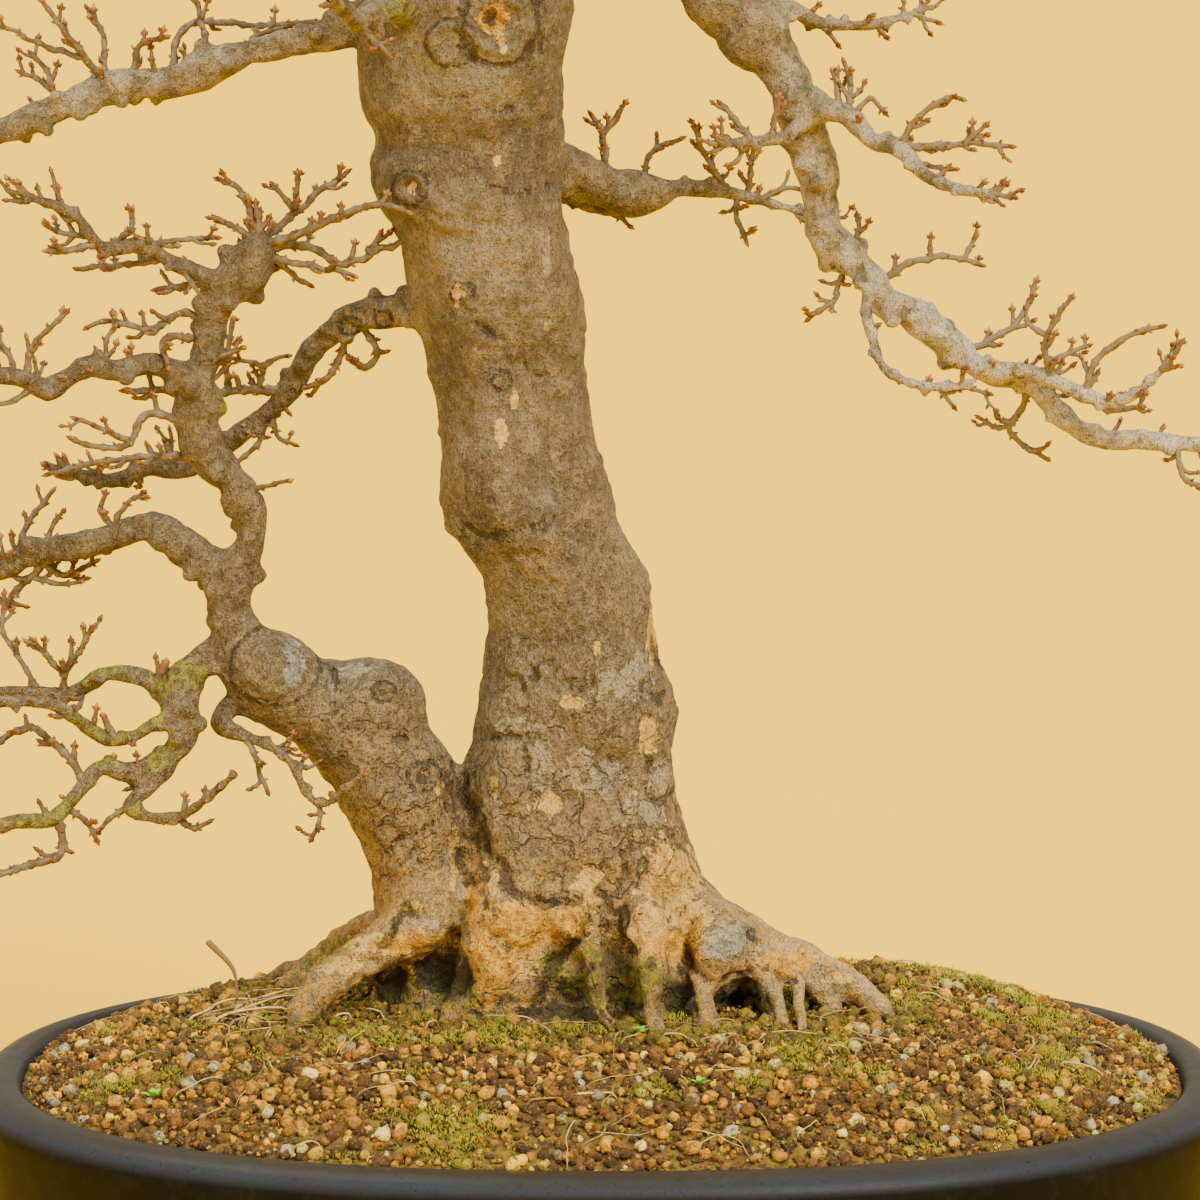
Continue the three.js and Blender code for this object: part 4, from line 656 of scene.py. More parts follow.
# Cracks and creases in the bark: half width, depth, then seen x and seen z along each.
GROOVES = [
    [1.8, 2.2, [[-63, 219], [-62, 205], [-61, 190], [-58, 178], [-55, 168]]],
    [1.9, 2.6, [[-60, 219], [-58, 206], [-54, 193], [-50, 186], [-46, 178], [-40, 166]]],
    [1.7, 1.6, [[-66, 214], [-66, 200], [-64, 186]]],
    [1.7, 1.5, [[-55, 188], [-52, 178], [-50, 168], [-50, 158]]],
    [2.5, 3.6, [[-50, 196], [-48, 184], [-42, 175], [-38, 166], [-33, 162], [-26, 160], [-18, 159],
        [-10, 161]]],
    [3.2, 5.5, [[-4, 154], [-8, 148], [-13, 142], [-19, 134], [-25, 124], [-30, 112]]],
    [2, 3.5, [[38, 151], [36, 142], [37, 133], [43, 127]]],
    [2, 3.5, [[62, 147], [65, 139], [61, 131], [53, 127]]],
    [1.7, 1.9, [[-2, 166], [2, 161], [6, 154]]],
    [1.7, 1.7, [[9, 181], [14, 184], [19, 187], [27, 188], [31, 182]]],
    [1.9, 2.4, [[9, 176], [8, 165], [10, 155], [9, 146], [12, 139]]],
    [1.5, 1.7, [[18, 222], [16, 213], [18, 207], [22, 202], [28, 206], [31, 208]]],
    [1.7, 1.5, [[-95, 179], [-86, 186], [-77, 192], [-68, 198]]],
    [2.3, 3.4, [[-78, 157], [-86, 156], [-89, 149], [-95, 143]]],
    [2.4, 2.6, [[-58, 542], [-58, 528], [-53, 517], [-43, 512.5], [-33, 515], [-26.5, 523], [-25, 532],
        [-28, 543]]],
    [1.6, 1.5, [[-58, 495], [-50, 496], [-44, 494], [-38, 497]]],
    [1.5, 1, [[-58, 491], [-58, 478], [-46, 476], [-38, 479]]],
    [1.6, 1.2, [[-46, 463], [-38, 460], [-28, 460], [-20, 464]]],
    [1.7, 1.6, [[-57, 412], [-52, 406], [-46, 402], [-40, 402]]],
    [1.5, 1.1, [[-32, 388], [-27, 384], [-20, 383], [-15, 386]]],
    [1.5, 1.1, [[-74, 502], [-62, 500], [-50, 502]]],
    [2, 1.4, [[-66, 328], [-56, 320], [-44, 317], [-30, 319], [-20, 324]]],
    [1.7, 1.6, [[25, 262], [22, 272], [20, 284]]],
    [1.5, 1.3, [[-46, 230], [-40, 233], [-33, 232], [-31, 226], [-30, 214], [-28, 204]]],
    [2, 2, [[-118, 268], [-112, 256], [-114, 240]]],
    [1.7, 1.4, [[-104, 234], [-92, 228], [-82, 230]]],
    [2, 2.2, [[36, 140], [34, 130], [38, 120]]],
    [2, 2, [[62, 140], [68, 132], [80, 128]]],
]

# Rough callus: seen x, seen z, half width and half height.
ROUGH = [
    [-31, 255, 12, 8], [-9, 251, 8, 12], [12, 257, 12, 8], [-2, 128, 24, 20], [-84, 132, 18, 12],
    [-56, 200, 8, 22], [-58, 176, 8, 14], [24, 246, 8, 6], [60, 124, 12, 8], [-76, 213, 7, 8],
]

# Relief on the near side: seen x, seen z, half width, half height and rise.
SWELLS = [
    [-48, 338, 16, 26, 5], [-20, 300, 22, 22, 2.5], [0, 268, 14, 18, 2.5], [-30, 270, 14, 14, -2.5],
    [-38, 428, 22, 24, 4], [-30, 386, 20, 12, -2], [-62, 452, 16, 22, 3.5], [-34, 478, 22, 16, -2.5],
    [-50, 500, 26, 12, 3], [-24, 350, 14, 24, -2], [10, 236, 14, 20, 2.5], [-38, 212, 12, 26, 3],
    [-6, 196, 16, 26, -2], [24, 200, 12, 22, 2.5], [26, 166, 16, 22, 4.5], [-30, 150, 22, 11, 6],
    [-50, 130, 10, 12, 4], [-58, 190, 6, 30, -4], [-80, 184, 14, 34, 3], [-92, 250, 14, 12, 4],
    [-128, 246, 16, 14, 3], [-152, 262, 12, 16, 3], [-96, 206, 14, 14, 2], [50, 141, 11, 9, 6],
    [-36, 134, 13, 20, 4], [-66, 127, 12, 9, -11], [-90, 125, 5, 7, -6], [-12, 117, 22, 9, -10],
    [33, 117, 6, 9, -7], [60, 114, 10, 9, -9], [-2, 140, 12, 10, -4], [20, 130, 8, 12, 2.5],
    [-46, 532, 6, 5, -4],
]


# Repeatable numbers

def dice(seed):
    """A repeatable run of numbers from 0 to 1."""
    state = seed

    def roll():
        nonlocal state
        state = (state * 1664525 + 1013904223) % 2**32
        return state / 2**32

    return roll


def lattice(cell, seed):
    """A repeatable number from -1 to 1 for each cell."""
    mixed = cell.astype(np.uint32) * np.array([374761393, 668265263, 2246822519], np.uint32)
    word = mixed.sum(axis=1, dtype=np.uint32) + np.uint32(seed * 40503 + 12345)
    word = (word ^ (word >> np.uint32(13))) * np.uint32(1274126177)
    word = (word ^ (word >> np.uint32(16))) * np.uint32(2654435761)
    return (word >> np.uint32(8)).astype(np.float32) / 2**23 - 1


def noise(points, scale, seed):
    """Smooth noise from -1 to 1, with lumps about one scale across."""
    place = points / scale
    cell = np.floor(place)
    part = place - cell
    part = part * part * (3 - 2 * part)
    cell = cell.astype(np.int64)
    total = np.zeros(len(points))
    for corner in np.ndindex(2, 2, 2):
        share = np.prod(np.where(corner, part, 1 - part), axis=1)
        total += share * lattice(cell + corner, seed)
    return total


# Paths

def seen(x, z, y):
    """A place of the plane y = 0, carried along its line of sight to a depth."""
    far = 1 + y / -EYE[1]
    return np.array([EYE[0] + (x - EYE[0]) * far, y, EYE[2] + (z - EYE[2]) * far])


def blob(x, y, place):
    """A soft spot from 1 to 0 about a middle, given with its half width and half height."""
    u, v, wide, high = place
    return np.exp(-(((x - u) / wide) ** 2) - ((y - v) / high) ** 2)


def soil_height(x, y):
    """Height of the soil's surface, without its grains."""
    inner = LIP_HALF - LIP_WIDTH
    reach = np.abs(x / inner[0]) ** OVAL_POWER + np.abs(y / inner[1]) ** OVAL_POWER
    share = np.minimum(reach ** (1 / OVAL_POWER), 1.1)
    u, v, wide, rise = HUMP
    return SOIL_EDGE + MOUND_RISE * (1 - share ** MOUND_POWER) + rise * blob(x, y, [u, v, wide, wide])


def soil_depth(x, z):
    """Depth at which a line of sight meets the soil."""
    for y in np.arange(-LIP_HALF[1], LIP_HALF[1]):
        point = seen(x, z, y)
        if point[2] <= soil_height(point[0], point[1]):
            return y
    return LIP_HALF[1] / 2


def shares(path):
    """Share of a path's length at each of its points."""
    steps = np.linalg.norm(np.diff(np.array(path, float)[:, :2], axis=0), axis=1)
    far = np.concatenate([[0], np.cumsum(steps)])
    return far / far[-1]


def curve(points, radii, step):
    """A smooth curve through points, sampled about every step, with its radii."""
    points, radii = np.array(points, float), np.array(radii, float)
    whole = np.column_stack([points, radii])
    gaps = np.maximum(np.linalg.norm(np.diff(points, axis=0), axis=1), 1e-6)
    slope = np.zeros_like(whole)
    slope[1:-1] = (whole[2:] - whole[:-2]) / (gaps[1:] + gaps[:-1])[:, None]
    slope[0] = (whole[1] - whole[0]) / gaps[0]
    slope[-1] = (whole[-1] - whole[-2]) / gaps[-1]
    rows = []
    for i, gap in enumerate(gaps):
        count = max(int(round(gap / step)), 1)
        t = (np.arange(count) / count)[:, None]
        rows.append(
            (2 * t**3 - 3 * t**2 + 1) * whole[i] + (t**3 - 2 * t**2 + t) * gap * slope[i]
            + (3 * t**2 - 2 * t**3) * whole[i + 1] + (t**3 - t**2) * gap * slope[i + 1]
        )
    rows.append(whole[-1:])
    rows = np.concatenate(rows)
    return rows[:, :3], np.maximum(rows[:, 3], 0.2)


def travelled(points):
    """Distance along a path at each of its points."""
    return np.concatenate([[0], np.cumsum(np.linalg.norm(np.diff(points, axis=0), axis=1))])


def unit(vector):
    """A vector's direction."""
    return vector / max(np.linalg.norm(vector), 1e-9)


def directions(points):
    """The direction of travel at each point of a path."""
    ways = np.gradient(points, axis=0)
    return ways / np.maximum(np.linalg.norm(ways, axis=1), 1e-9)[:, None]


def limb_points(near, far, path):
    """A limb's points in space and their radii."""
    points = [seen(x, z, near + (far - near) * s) for (x, z, _), s in zip(path, shares(path))]
    return np.array(points), np.array([r for _, _, r in path], float)


def near_root(depth, path):
    """A seen root: from its shoulder in the trunk down to the soil and on into it."""
    landing = soil_depth(path[-1][0], path[-1][1])
    points = [seen(x, z, depth + (landing - depth) * s) for (x, z, _), s in zip(path, shares(path))]
    x, z, thick = path[0]
    sway = SHOULDER_SWAY * (TRUNK_FOOT_X - x)
    shoulder = seen(x + sway, z + SHOULDER_RISE, depth * SHOULDER_DEPTH)
    return dive([shoulder] + points, [thick * SHOULDER_GIRTH] + [r for _, _, r in path])


def far_root(degrees, reach, radius):
    """A root on the far side, laid along the soil."""
    turn = math.radians(degrees)
    points, radii = [], []
    for share, lift, thick in FAR_ROOT_PATH:
        x = FAR_ROOT_START[0] + reach * share * math.cos(turn)
        y = FAR_ROOT_START[1] + reach * share * math.sin(turn) * FAR_ROOT_SQUASH
        points.append(np.array([x, y, soil_height(x, y) + lift]))
        radii.append(radius * thick)
    return dive(points, radii)


def dive(points, radii):
    """A root's path with its last stretch down into the soil."""
    out = points[-1] - points[-2]
    out[2] = 0
    deep = points[-1] + unit(out) * ROOT_REACH - ROOT_DIVE * UP
    return np.array(points + [deep]), np.array(radii + [radii[-1] * 0.8])


# Stems already grown, by the name of their limb, as points with radii.
grown = {}


def nearest_on(name, x, z):
    """The nearest place, as seen, on the stems of a limb."""
    best = None
    for points, _ in grown[name]:
        for a, b in zip(points[:-1], points[1:]):
            for part in range(9):
                point = a + (b - a) * part / 8
                gap = np.linalg.norm(seen(x, z, point[1]) - point)
                if best is None or gap < best[0]:
                    best = (gap, point)
    return best[1]


def seen_twig(name, thick, thin, path):
    """A seen twig: it swings nearer or farther along its length, by a wave of where it starts."""
    root = nearest_on(name, *path[0])
    length = travelled(np.array(path, float))[-1]
    swing = TWIG_SWING * length * math.sin(1.7 * path[0][0] + 2.3 * path[0][1])
    share = shares(path)
    points = [seen(x, z, root[1] + swing * s) for (x, z), s in zip(path, share)]
    points[0] = root
    stem = (np.array(points), thick + (thin - thick) * share)
    grown[name].append(stem)
    return stem


def spray(rule, roll):
    """Twigs by rule: each leaves its limb sideways and turns up a little."""
    name, start, count, length = rule
    points, radii = grown[name][0]
    twigs = []
    for n in range(count):
        place = (start + ((1 - start) * (n + 0.5)) / count) * (len(points) - 1)
        i = min(int(place), len(points) - 2)
        root = points[i] + (points[i + 1] - points[i]) * (place - i)
        along = unit(points[i + 1] - points[i])
        turn = (0 if n % 2 else math.pi) + (roll() - 0.5) * 1.6
        side = unit(np.cross(UP, along))
        up = np.cross(along, side)
        out = side * math.cos(turn) + up * (0.45 + 0.5 * math.sin(turn))
        way = unit(along * 0.75 + out)
        reach = length * (0.75 + 0.5 * roll()) * (1 - 0.25 * (n / count))
        knee = root + way * reach * 0.45
        lift = np.array([roll() - 0.5, roll() - 0.5, 0.5 + 0.6 * roll()])
        tip = knee + unit(way + lift * 0.5) * reach * 0.6
        thick = min(2.4, radii[i] * 0.55)
        twigs.append((np.array([root, knee, tip]), np.array([thick, thick * 0.8, 1.2])))
    grown[name].extend(twigs)
    return twigs


# The wood as a field on a grid: its distance to the bark, negative inside

class Field:
    """Distance to the wood's surface, and the radius of the nearest stem, at each grid point."""

    def __init__(self, low, high):
        self.low = np.array(low, float)
        self.shape = np.ceil((np.array(high) - self.low) / CELL).astype(int) + 1
        self.distance = np.full(self.shape, FIELD_REACH, np.float32)
        self.radius = np.zeros(self.shape, np.float32)

    def window(self, low, high):
        """The slices of the grid between two corners."""
        first = np.clip(np.floor((low - self.low) / CELL).astype(int), 0, self.shape - 1)
        last = np.clip(np.ceil((high - self.low) / CELL).astype(int) + 1, first + 1, self.shape)
        return tuple(slice(a, b) for a, b in zip(first, last))

    def places(self, window):
        """The places of a window's grid points along each axis."""
        axes = [self.low[k] + CELL * np.arange(w.start, w.stop) for k, w in enumerate(window)]
        return np.meshgrid(*[a.astype(np.float32) for a in axes], indexing="ij", sparse=True)

    def join(self, window, distance, radius, width):
        """Adds a body to the wood, with a fillet of about a width where they meet."""
        old = self.distance[window]
        share = np.maximum(width - np.abs(old - distance), 0) / width
        closer = distance < old
        self.radius[window] = np.where(closer, radius, self.radius[window])
        self.distance[window] = np.where(closer, distance, old) - share * share * width / 4

    def at(self, points):
        """Distance to the wood at points, from the nearest grid point."""
        index = np.rint((points - self.low) / CELL).astype(int)
        index = np.clip(index, 0, self.shape - 1)
        return self.distance[index[:, 0], index[:, 1], index[:, 2]]


def add_stem(field, points, radii, width):
    """Joins a stem to the wood: round cones along its path."""
    reach = radii.max() + width + FIELD_MARGIN
    whole = field.window(points.min(axis=0) - reach, points.max(axis=0) + reach)
    shape = [w.stop - w.start for w in whole]
    distance = np.full(shape, FIELD_REACH, np.float32)
    radius = np.zeros(shape, np.float32)
    for a, b, thick, thin in zip(points[:-1], points[1:], radii[:-1], radii[1:]):
        near = max(thick, thin) + width + FIELD_MARGIN
        window = field.window(np.minimum(a, b) - near, np.maximum(a, b) + near)
        part = tuple(slice(w.start - o.start, w.stop - o.start) for w, o in zip(window, whole))
        offsets = [p - a[k] for k, p in enumerate(field.places(window))]
        way = b - a
        along = sum(offsets[k] * way[k] for k in range(3)) / max(way @ way, 1e-9)
        along = np.clip(along, 0, 1)
        gap = np.sqrt(sum((offsets[k] - along * way[k]) ** 2 for k in range(3)))
        local = thick + (thin - thick) * along
        closer = gap - local < distance[part]
        distance[part] = np.where(closer, gap - local, distance[part])
        radius[part] = np.where(closer, local, radius[part])
    field.join(whole, distance, radius, width)


def add_trunk(field):
    """Joins the trunk: level ovals between its seen edges, with shallow flutes."""
    centres, halves = [], []
    for z, left, right in TRUNK:
        depth = TRUNK_FOOT_DEPTH - TRUNK_LEAN * max(z - 150, 0)
        centres.append(seen((left + right) / 2, z, depth))
        halves.append((right - left) / 2)
    path, half = curve(centres, halves, TRUNK_STEP)
    reach = half.max() + FIELD_MARGIN
    low = path.min(axis=0) - [reach, reach, 8]
    window = field.window(low, path.max(axis=0) + [reach, reach, 4])
    x, y, z = field.places(window)
    level = z.ravel()
    wide, middle_x, middle_y = (
        np.interp(level, path[:, 2], values)[None, None, :] for values in (half, path[:, 0], path[:, 1])
    )
    foot = np.clip((200 - z) / 80, 0, 1)
    deep = wide * (0.92 - 0.17 * foot)
    across = (x - middle_x) / wide
    back = (y - middle_y) / deep
    turn = np.arctan2(back, across)
    flute = 1 + FLUTE_DEPTH * np.sin(turn) ** 2 * np.cos(FLUTES * turn + z / 40)
    distance = (np.hypot(across, back) / flute - 1) * np.minimum(wide, deep)
    distance = np.maximum(distance, z - path[-1, 2])
    radius = np.broadcast_to(wide, distance.shape)
    field.join(window, distance.astype(np.float32), radius.astype(np.float32), FILLETS["trunk"])


def add_lump(field, lump):
    """Joins a rounded lump, as an ellipsoid."""
    x, z, y, wide, deep, high = lump
    centre = seen(x, z, y)
    half = np.array([wide, deep, high], float)
    window = field.window(centre - half - 20, centre + half + 20)
    offsets = [(p - centre[k]) / half[k] for k, p in enumerate(field.places(window))]
    far = np.sqrt(sum(o * o for o in offsets))
    distance = ((far - 1) * half.min()).astype(np.float32)
    radius = np.full(distance.shape, half.mean(), np.float32)
    field.join(window, distance, radius, FILLETS["lump"])


def knobbly(points, radii, amount, seed):
    """A smooth stem with uneven swellings, such as old nodes leave on a branch."""
    points, radii = curve(points, radii, LIMB_STEP)
    far = travelled(points)
    line = np.column_stack([far, np.full(len(far), 7.3 * seed), np.zeros(len(far))])
    swell = noise(line, 9, seed) + 0.7 * noise(line, 4.5, seed + 50)
    return points, radii * (1 + amount * swell)


def add_burrs(field, points, radii, roll):
    """Joins the small knobs that cut twigs leave on a limb."""
    far = 0
    for i in range(1, len(points)):
        far -= np.linalg.norm(points[i] - points[i - 1])
        if far > 0 or radii[i] > BURR_LIMB:
            continue
        far = 3 + 8 * roll()
        way = unit(points[i] - points[i - 1])
        side = unit(np.cross(way, [0.31, 0.2, 0.93]))
        turn = 2 * math.pi * roll()
        out = side * math.cos(turn) + np.cross(way, side) * math.sin(turn)
        size = min(max(radii[i] * (0.34 + 0.4 * roll()), 1.7), 3.6)
        knob = points[i] + out * (radii[i] * 0.95 + roll() * 2)
        add_stem(field, np.array([points[i], knob]), np.array([size, size]), FILLETS["burr"])


def wood_field():
    """The trunk, roots and limbs as one field, cut off level inside the soil."""
    field = Field(WOOD_LOW, WOOD_HIGH)
    add_trunk(field)
    for lump in LUMPS:
        add_lump(field, lump)
    for n, root in enumerate(ROOTS, SEEDS["near roots"]):
        add_stem(field, *knobbly(*near_root(*root), UNEVEN["root"], n), FILLETS["near root"])
    for n, root in enumerate(FAR_ROOTS, SEEDS["far roots"]):
        add_stem(field, *knobbly(*far_root(*root), UNEVEN["root"], n), FILLETS["far root"])
    for n, (name, limb) in enumerate(LIMBS.items()):
        points, radii = limb_points(*limb)
        grown[name] = [(points, radii)]
        uneven = UNEVEN["thick" if radii.max() > THICK_LIMB else "limb"]
        points, radii = knobbly(points, radii, uneven, SEEDS["limbs"] + n)
        add_stem(field, points, radii, FILLETS.get(name, FILLETS["limb"]))
        add_burrs(field, points, radii, dice(SEEDS["burrs"] + n))
        if name == "subtrunk":
            field.bulk = field.distance.copy()
    level = field.places(field.window(field.low, np.array(WOOD_HIGH)))[2]
    field.distance = np.maximum(field.distance, WOOD_CUT - level)
    return field


def normals_of(points, faces):
    """The mean normal at each point of a mesh."""
    corners = points[faces]
    face = np.cross(corners[:, 1] - corners[:, 0], corners[:, 2] - corners[:, 0])
    total = np.zeros_like(points)
    for k in range(3):
        for axis in range(3):
            total[:, axis] += np.bincount(faces[:, k], face[:, axis], len(points))
    return total / np.maximum(np.linalg.norm(total, axis=1), 1e-9)[:, None]


def seen_places(points):
    """The places in the plane y = 0 where points show from the eye."""
    far = 1 + points[:, 1] / -EYE[1]
    return EYE[0] + (points[:, 0] - EYE[0]) / far, EYE[2] + (points[:, 2] - EYE[2]) / far


def line_gap(x, z, path):
    """Distance of seen places from a seen path."""
    best = np.full(len(x), 1e3)
    for a, b in zip(np.array(path[:-1], float), np.array(path[1:], float)):
        way = b - a
        along = np.clip(((x - a[0]) * way[0] + (z - a[1]) * way[1]) / (way @ way), 0, 1)
        best = np.minimum(best, np.hypot(x - a[0] - along * way[0], z - a[1] - along * way[1]))
    return best


def smoothed(values, faces, rounds):
    """Values on a mesh's points, each drawn towards its neighbours' mean."""
    count = np.bincount(faces.ravel(), minlength=len(values))
    for _ in range(rounds):
        means = values[faces].mean(axis=1)
        values = sum(np.bincount(faces[:, k], means, len(values)) for k in range(3)) / count
    return values


def spot(x, z, place, size, edge):
    """A ragged spot from 1 to 0 about a middle, given with its half width and half height."""
    u, w, wide, high = place
    return np.clip(size - np.hypot((x - u) / wide, (z - w) / high) - edge, 0, 1)


def unevenness(points, radius, thick):
    """Bumps and wrinkles of the bark, broad on thick wood and strongest at the foot."""
    fine = np.clip(radius / 7, 0.2, 1)
    foot = np.clip((165 - points[:, 2]) / 40, 0, 1)
    rise = 1.6 * thick * noise(points, 27, 1) + (1 + foot) * thick * noise(points, 12, 2)
    rise += (0.6 + 0.7 * foot) * fine * noise(points, 6, 3) + 0.5 * fine * noise(points, 3.6, 10)
    rise += 0.45 * thick * noise(points * [1, 1, 0.3], 4, 4)
    return rise + 0.5 * thick * noise(points * [0.3, 0.3, 1], 5, 9)


def weathered(points, faces, radius, bulk):
    """Moves the bark in and out, and tells where it is peeled, pale, mossy or cracked."""
    normals = normals_of(points, faces)
    radius = smoothed(radius, faces, 8)
    x, z = seen_places(points)
    facing = np.clip((0.35 - normals[:, 1]) / 0.4, 0, 1)
    front = facing * np.clip(1 - bulk / 4, 0, 1)
    thick = np.clip(radius / 40, 0, 1)
    marks = {kind: np.zeros(len(points)) for kind in MARK_TONES}
    crack = np.zeros(len(points))
    rise = unevenness(points, radius, thick)
    for *place, height in SWELLS:
        rise += height * blob(x, z, place) * front * np.clip(0.1 - normals[:, 1] * 1.6, 0, 1)
    wander = CRACK_WAVER * noise(points, 6, 5)
    broken = np.clip(0.75 + 0.9 * noise(points, 9, 11), 0.25, 1) * front
    for half, depth, path in GROOVES:
        gap = line_gap(x + wander, z - wander, path)
        rise -= depth * np.exp(-((gap / half) ** 2)) * broken
        crack = np.maximum(crack, np.clip(1 - gap / (2.4 * half), 0, 1) * broken * min(depth / 2, 1))
    for u, w, size, height in SCARS:
        gap = np.hypot(x - u + 0.4 * wander, (z - w) * 1.1) / size
        rim = np.exp(-(((gap - 1) / 0.28) ** 2)) - 0.7 * np.exp(-((gap / 0.7) ** 2))
        if size > KNOB_SIZE:
            rim += 0.35 * np.cos(14 * gap) * np.exp(-((gap / 1.5) ** 2))
        rise += height * rim * facing
        if size > KNOB_SIZE and w < KNOB_TOP:
            rise += KNOB_RISE * np.exp(-((gap / 0.9) ** 4)) * facing
        crack = np.maximum(crack, 0.75 * facing * np.clip(1 - np.abs(gap - 1.4) * size / 2.4, 0, 1))
        if size < 7:
            marks["peel"] = np.maximum(marks["peel"], np.clip(0.95 - gap, 0, 1) * facing)
    edge = 0.35 * noise(points, 7, 6) + 0.2 * noise(points, 3, 7)
    for place in ROUGH:
        share = spot(x, z, place, 1.6, edge) * facing
        rise += share * (1.4 * noise(points, 6, 13) + 1.5 * noise(points, 3.5, 14))
        crack = np.maximum(crack, share * np.clip(0.2 - noise(points, 4, 15), 0, 0.75))
    for kind, places in MARKS.items():
        for place in places:
            marks[kind] = np.maximum(marks[kind], spot(x, z, place, 1.5, edge) * facing)
    behind = np.clip((normals[:, 1] - 0.1) / 0.3, 0, 1)
    low = np.clip((240 - points[:, 2]) / 60, 0, 1) * behind
    patch = noise(points, 22, 8) + 0.5 * edge
    marks["peel"] = np.maximum(marks["peel"], low * np.clip((patch - 0.1) / 0.5, 0, 1))
    marks["pale"] = np.maximum(marks["pale"], behind * np.clip((-patch - 0.2) / 0.5, 0, 1))
    rise -= PEEL_DEPTH * np.clip((marks["peel"] - 0.4) / 0.2, 0, 1) * thick
    rise += PALE_RISE * np.clip((marks["pale"] - 0.4) / 0.2, 0, 1) * thick
    # The tint mark: random tone, and patches of painted light and shade on the near side.
    tint = 0.35 * noise(points, 30, 12)
    for *place, gain in TINTS_AND_SHADING:
        tint += gain * blob(x, z, place) * front
    marks.update(tint=tint, crack=crack, radius=radius)
    moved = points + normals * rise[:, None]
    moved = np.clip(moved, BOX_LOW + BOX_EDGE, BOX_HIGH - BOX_EDGE)
    moved[:, 2] = np.maximum(moved[:, 2], WOOD_CUT - 1)
    return moved, marks


def wood_mesh(field):
    """The bark's surface as points, triangles and marks."""
    grid = openvdb.FloatGrid(FIELD_REACH)
    grid.copyFromArray(field.distance)
    points, _, quads = grid.convertToPolygons(isovalue=0.0, adaptivity=0.0)
    near = tuple(np.clip(np.rint(points).astype(int), 0, field.shape - 1).T)
    radius, bulk = field.radius[near].astype(float), field.bulk[near].astype(float)
    points = field.low + points.astype(float) * CELL
    faces = np.concatenate([quads[:, [0, 1, 2]], quads[:, [0, 2, 3]]]).astype(int)
    points, marks = weathered(points, faces, radius, bulk)
    return points, faces, marks


# Meshes

def add_object(name, data):
    """An object in the scene."""
    made = bpy.data.objects.new(name, data)
    bpy.context.scene.collection.objects.link(made)
    return made


def build_piece(name, material, slot, points, faces, marks=None, normals=None, smooth=True):
    """A mesh object, in metres, that rides on the root and takes the given material. The slot is not used."""
    mesh = bpy.data.meshes.new(name)
    mesh.vertices.add(len(points))
    mesh.vertices.foreach_set("co", (np.asarray(points, np.float32) * MM).ravel())
    faces = np.asarray(faces, np.int32)
    mesh.loops.add(faces.size)
    mesh.loops.foreach_set("vertex_index", faces.ravel())
    mesh.polygons.add(len(faces))
    mesh.polygons.foreach_set("loop_start", np.arange(0, faces.size, faces.shape[1], dtype=np.int32))
    mesh.polygons.foreach_set("use_smooth", np.full(len(faces), smooth))
    for key, values in (marks or {}).items():
        mark = mesh.attributes.new(key, "FLOAT", "POINT")
        mark.data.foreach_set("value", values.astype(np.float32))
    mesh.update(calc_edges=True)
    mesh.validate()
    if normals is not None:
        mesh.normals_split_custom_set_from_vertices(normals.tolist())
    mesh.materials.append(material)
    piece = add_object(name, mesh)
    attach(piece, "root")
    return piece


def part_of(points, faces, marks, normals, chosen):
    """The chosen faces of a mesh, with only their own points."""
    kept = faces[chosen]
    used, place = np.unique(kept, return_inverse=True)
    marks = {key: values[used] for key, values in marks.items()}
    return points[used], place.reshape(kept.shape), marks, normals[used]


class Heap:
    """Small bodies gathered into one mesh, with a mark or more on each point."""

    def __init__(self, *keys):
        self.points, self.faces, self.count = [], [], 0
        self.marks = {key: [] for key in keys}

    def add(self, points, faces, **marks):
        """Adds a body, each mark as one value or as a value for each point."""
        self.points.append(points)
        self.faces.append(np.asarray(faces) + self.count)
        self.count += len(points)
        for key, values in marks.items():
            self.marks[key].append(np.broadcast_to(np.asarray(values, float), len(points)))

    def build(self, name, material, slot, smooth=True):
        """All bodies as one piece."""
        marks = {key: np.concatenate(values) for key, values in self.marks.items()}
        points, faces = np.concatenate(self.points), np.concatenate(self.faces)
        return build_piece(name, material, slot, points, faces, marks, smooth=smooth)


def ring_faces(rings, sides):
    """Triangles of a tube of rings, closed by its first and last ring's fans."""
    k = np.arange(sides)
    after = (k + 1) % sides
    rows = []
    for i in range(rings - 1):
        a, b = i * sides + k, i * sides + after
        rows.append(np.column_stack([a, b, b + sides]))
        rows.append(np.column_stack([a, b + sides, a + sides]))
    first, last = rings * sides, rings * sides + 1
    rows.append(np.column_stack([np.full(sides, first), after, k]))
    top = (rings - 1) * sides
    rows.append(np.column_stack([np.full(sides, last), top + k, top + after]))
    return np.concatenate(rows)


def tube(points, radii, sides, tip=0.5):
    """A closed tube along a path, as points and triangles."""
    ways = directions(points)
    side = np.array([0.31, -0.87, 0.23])
    turns = 2 * math.pi * np.arange(sides) / sides
    rings = []
    for point, way, radius in zip(points, ways, radii):
        side = unit(side - way * (side @ way))
        up = np.cross(way, side)
        rings.append(point + radius * (np.outer(np.cos(turns), side) + np.outer(np.sin(turns), up)))
    first = points[0] - ways[0] * 0.3 * radii[0]
    last = points[-1] + ways[-1] * tip * radii[-1]
    return np.concatenate(rings + [[first], [last]]), ring_faces(len(points), sides)


# Twigs and buds

def inside_box(points):
    """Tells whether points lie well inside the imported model's box."""
    return bool((points > BOX_LOW + BOX_ROOM).all() and (points < BOX_HIGH - BOX_ROOM).all())


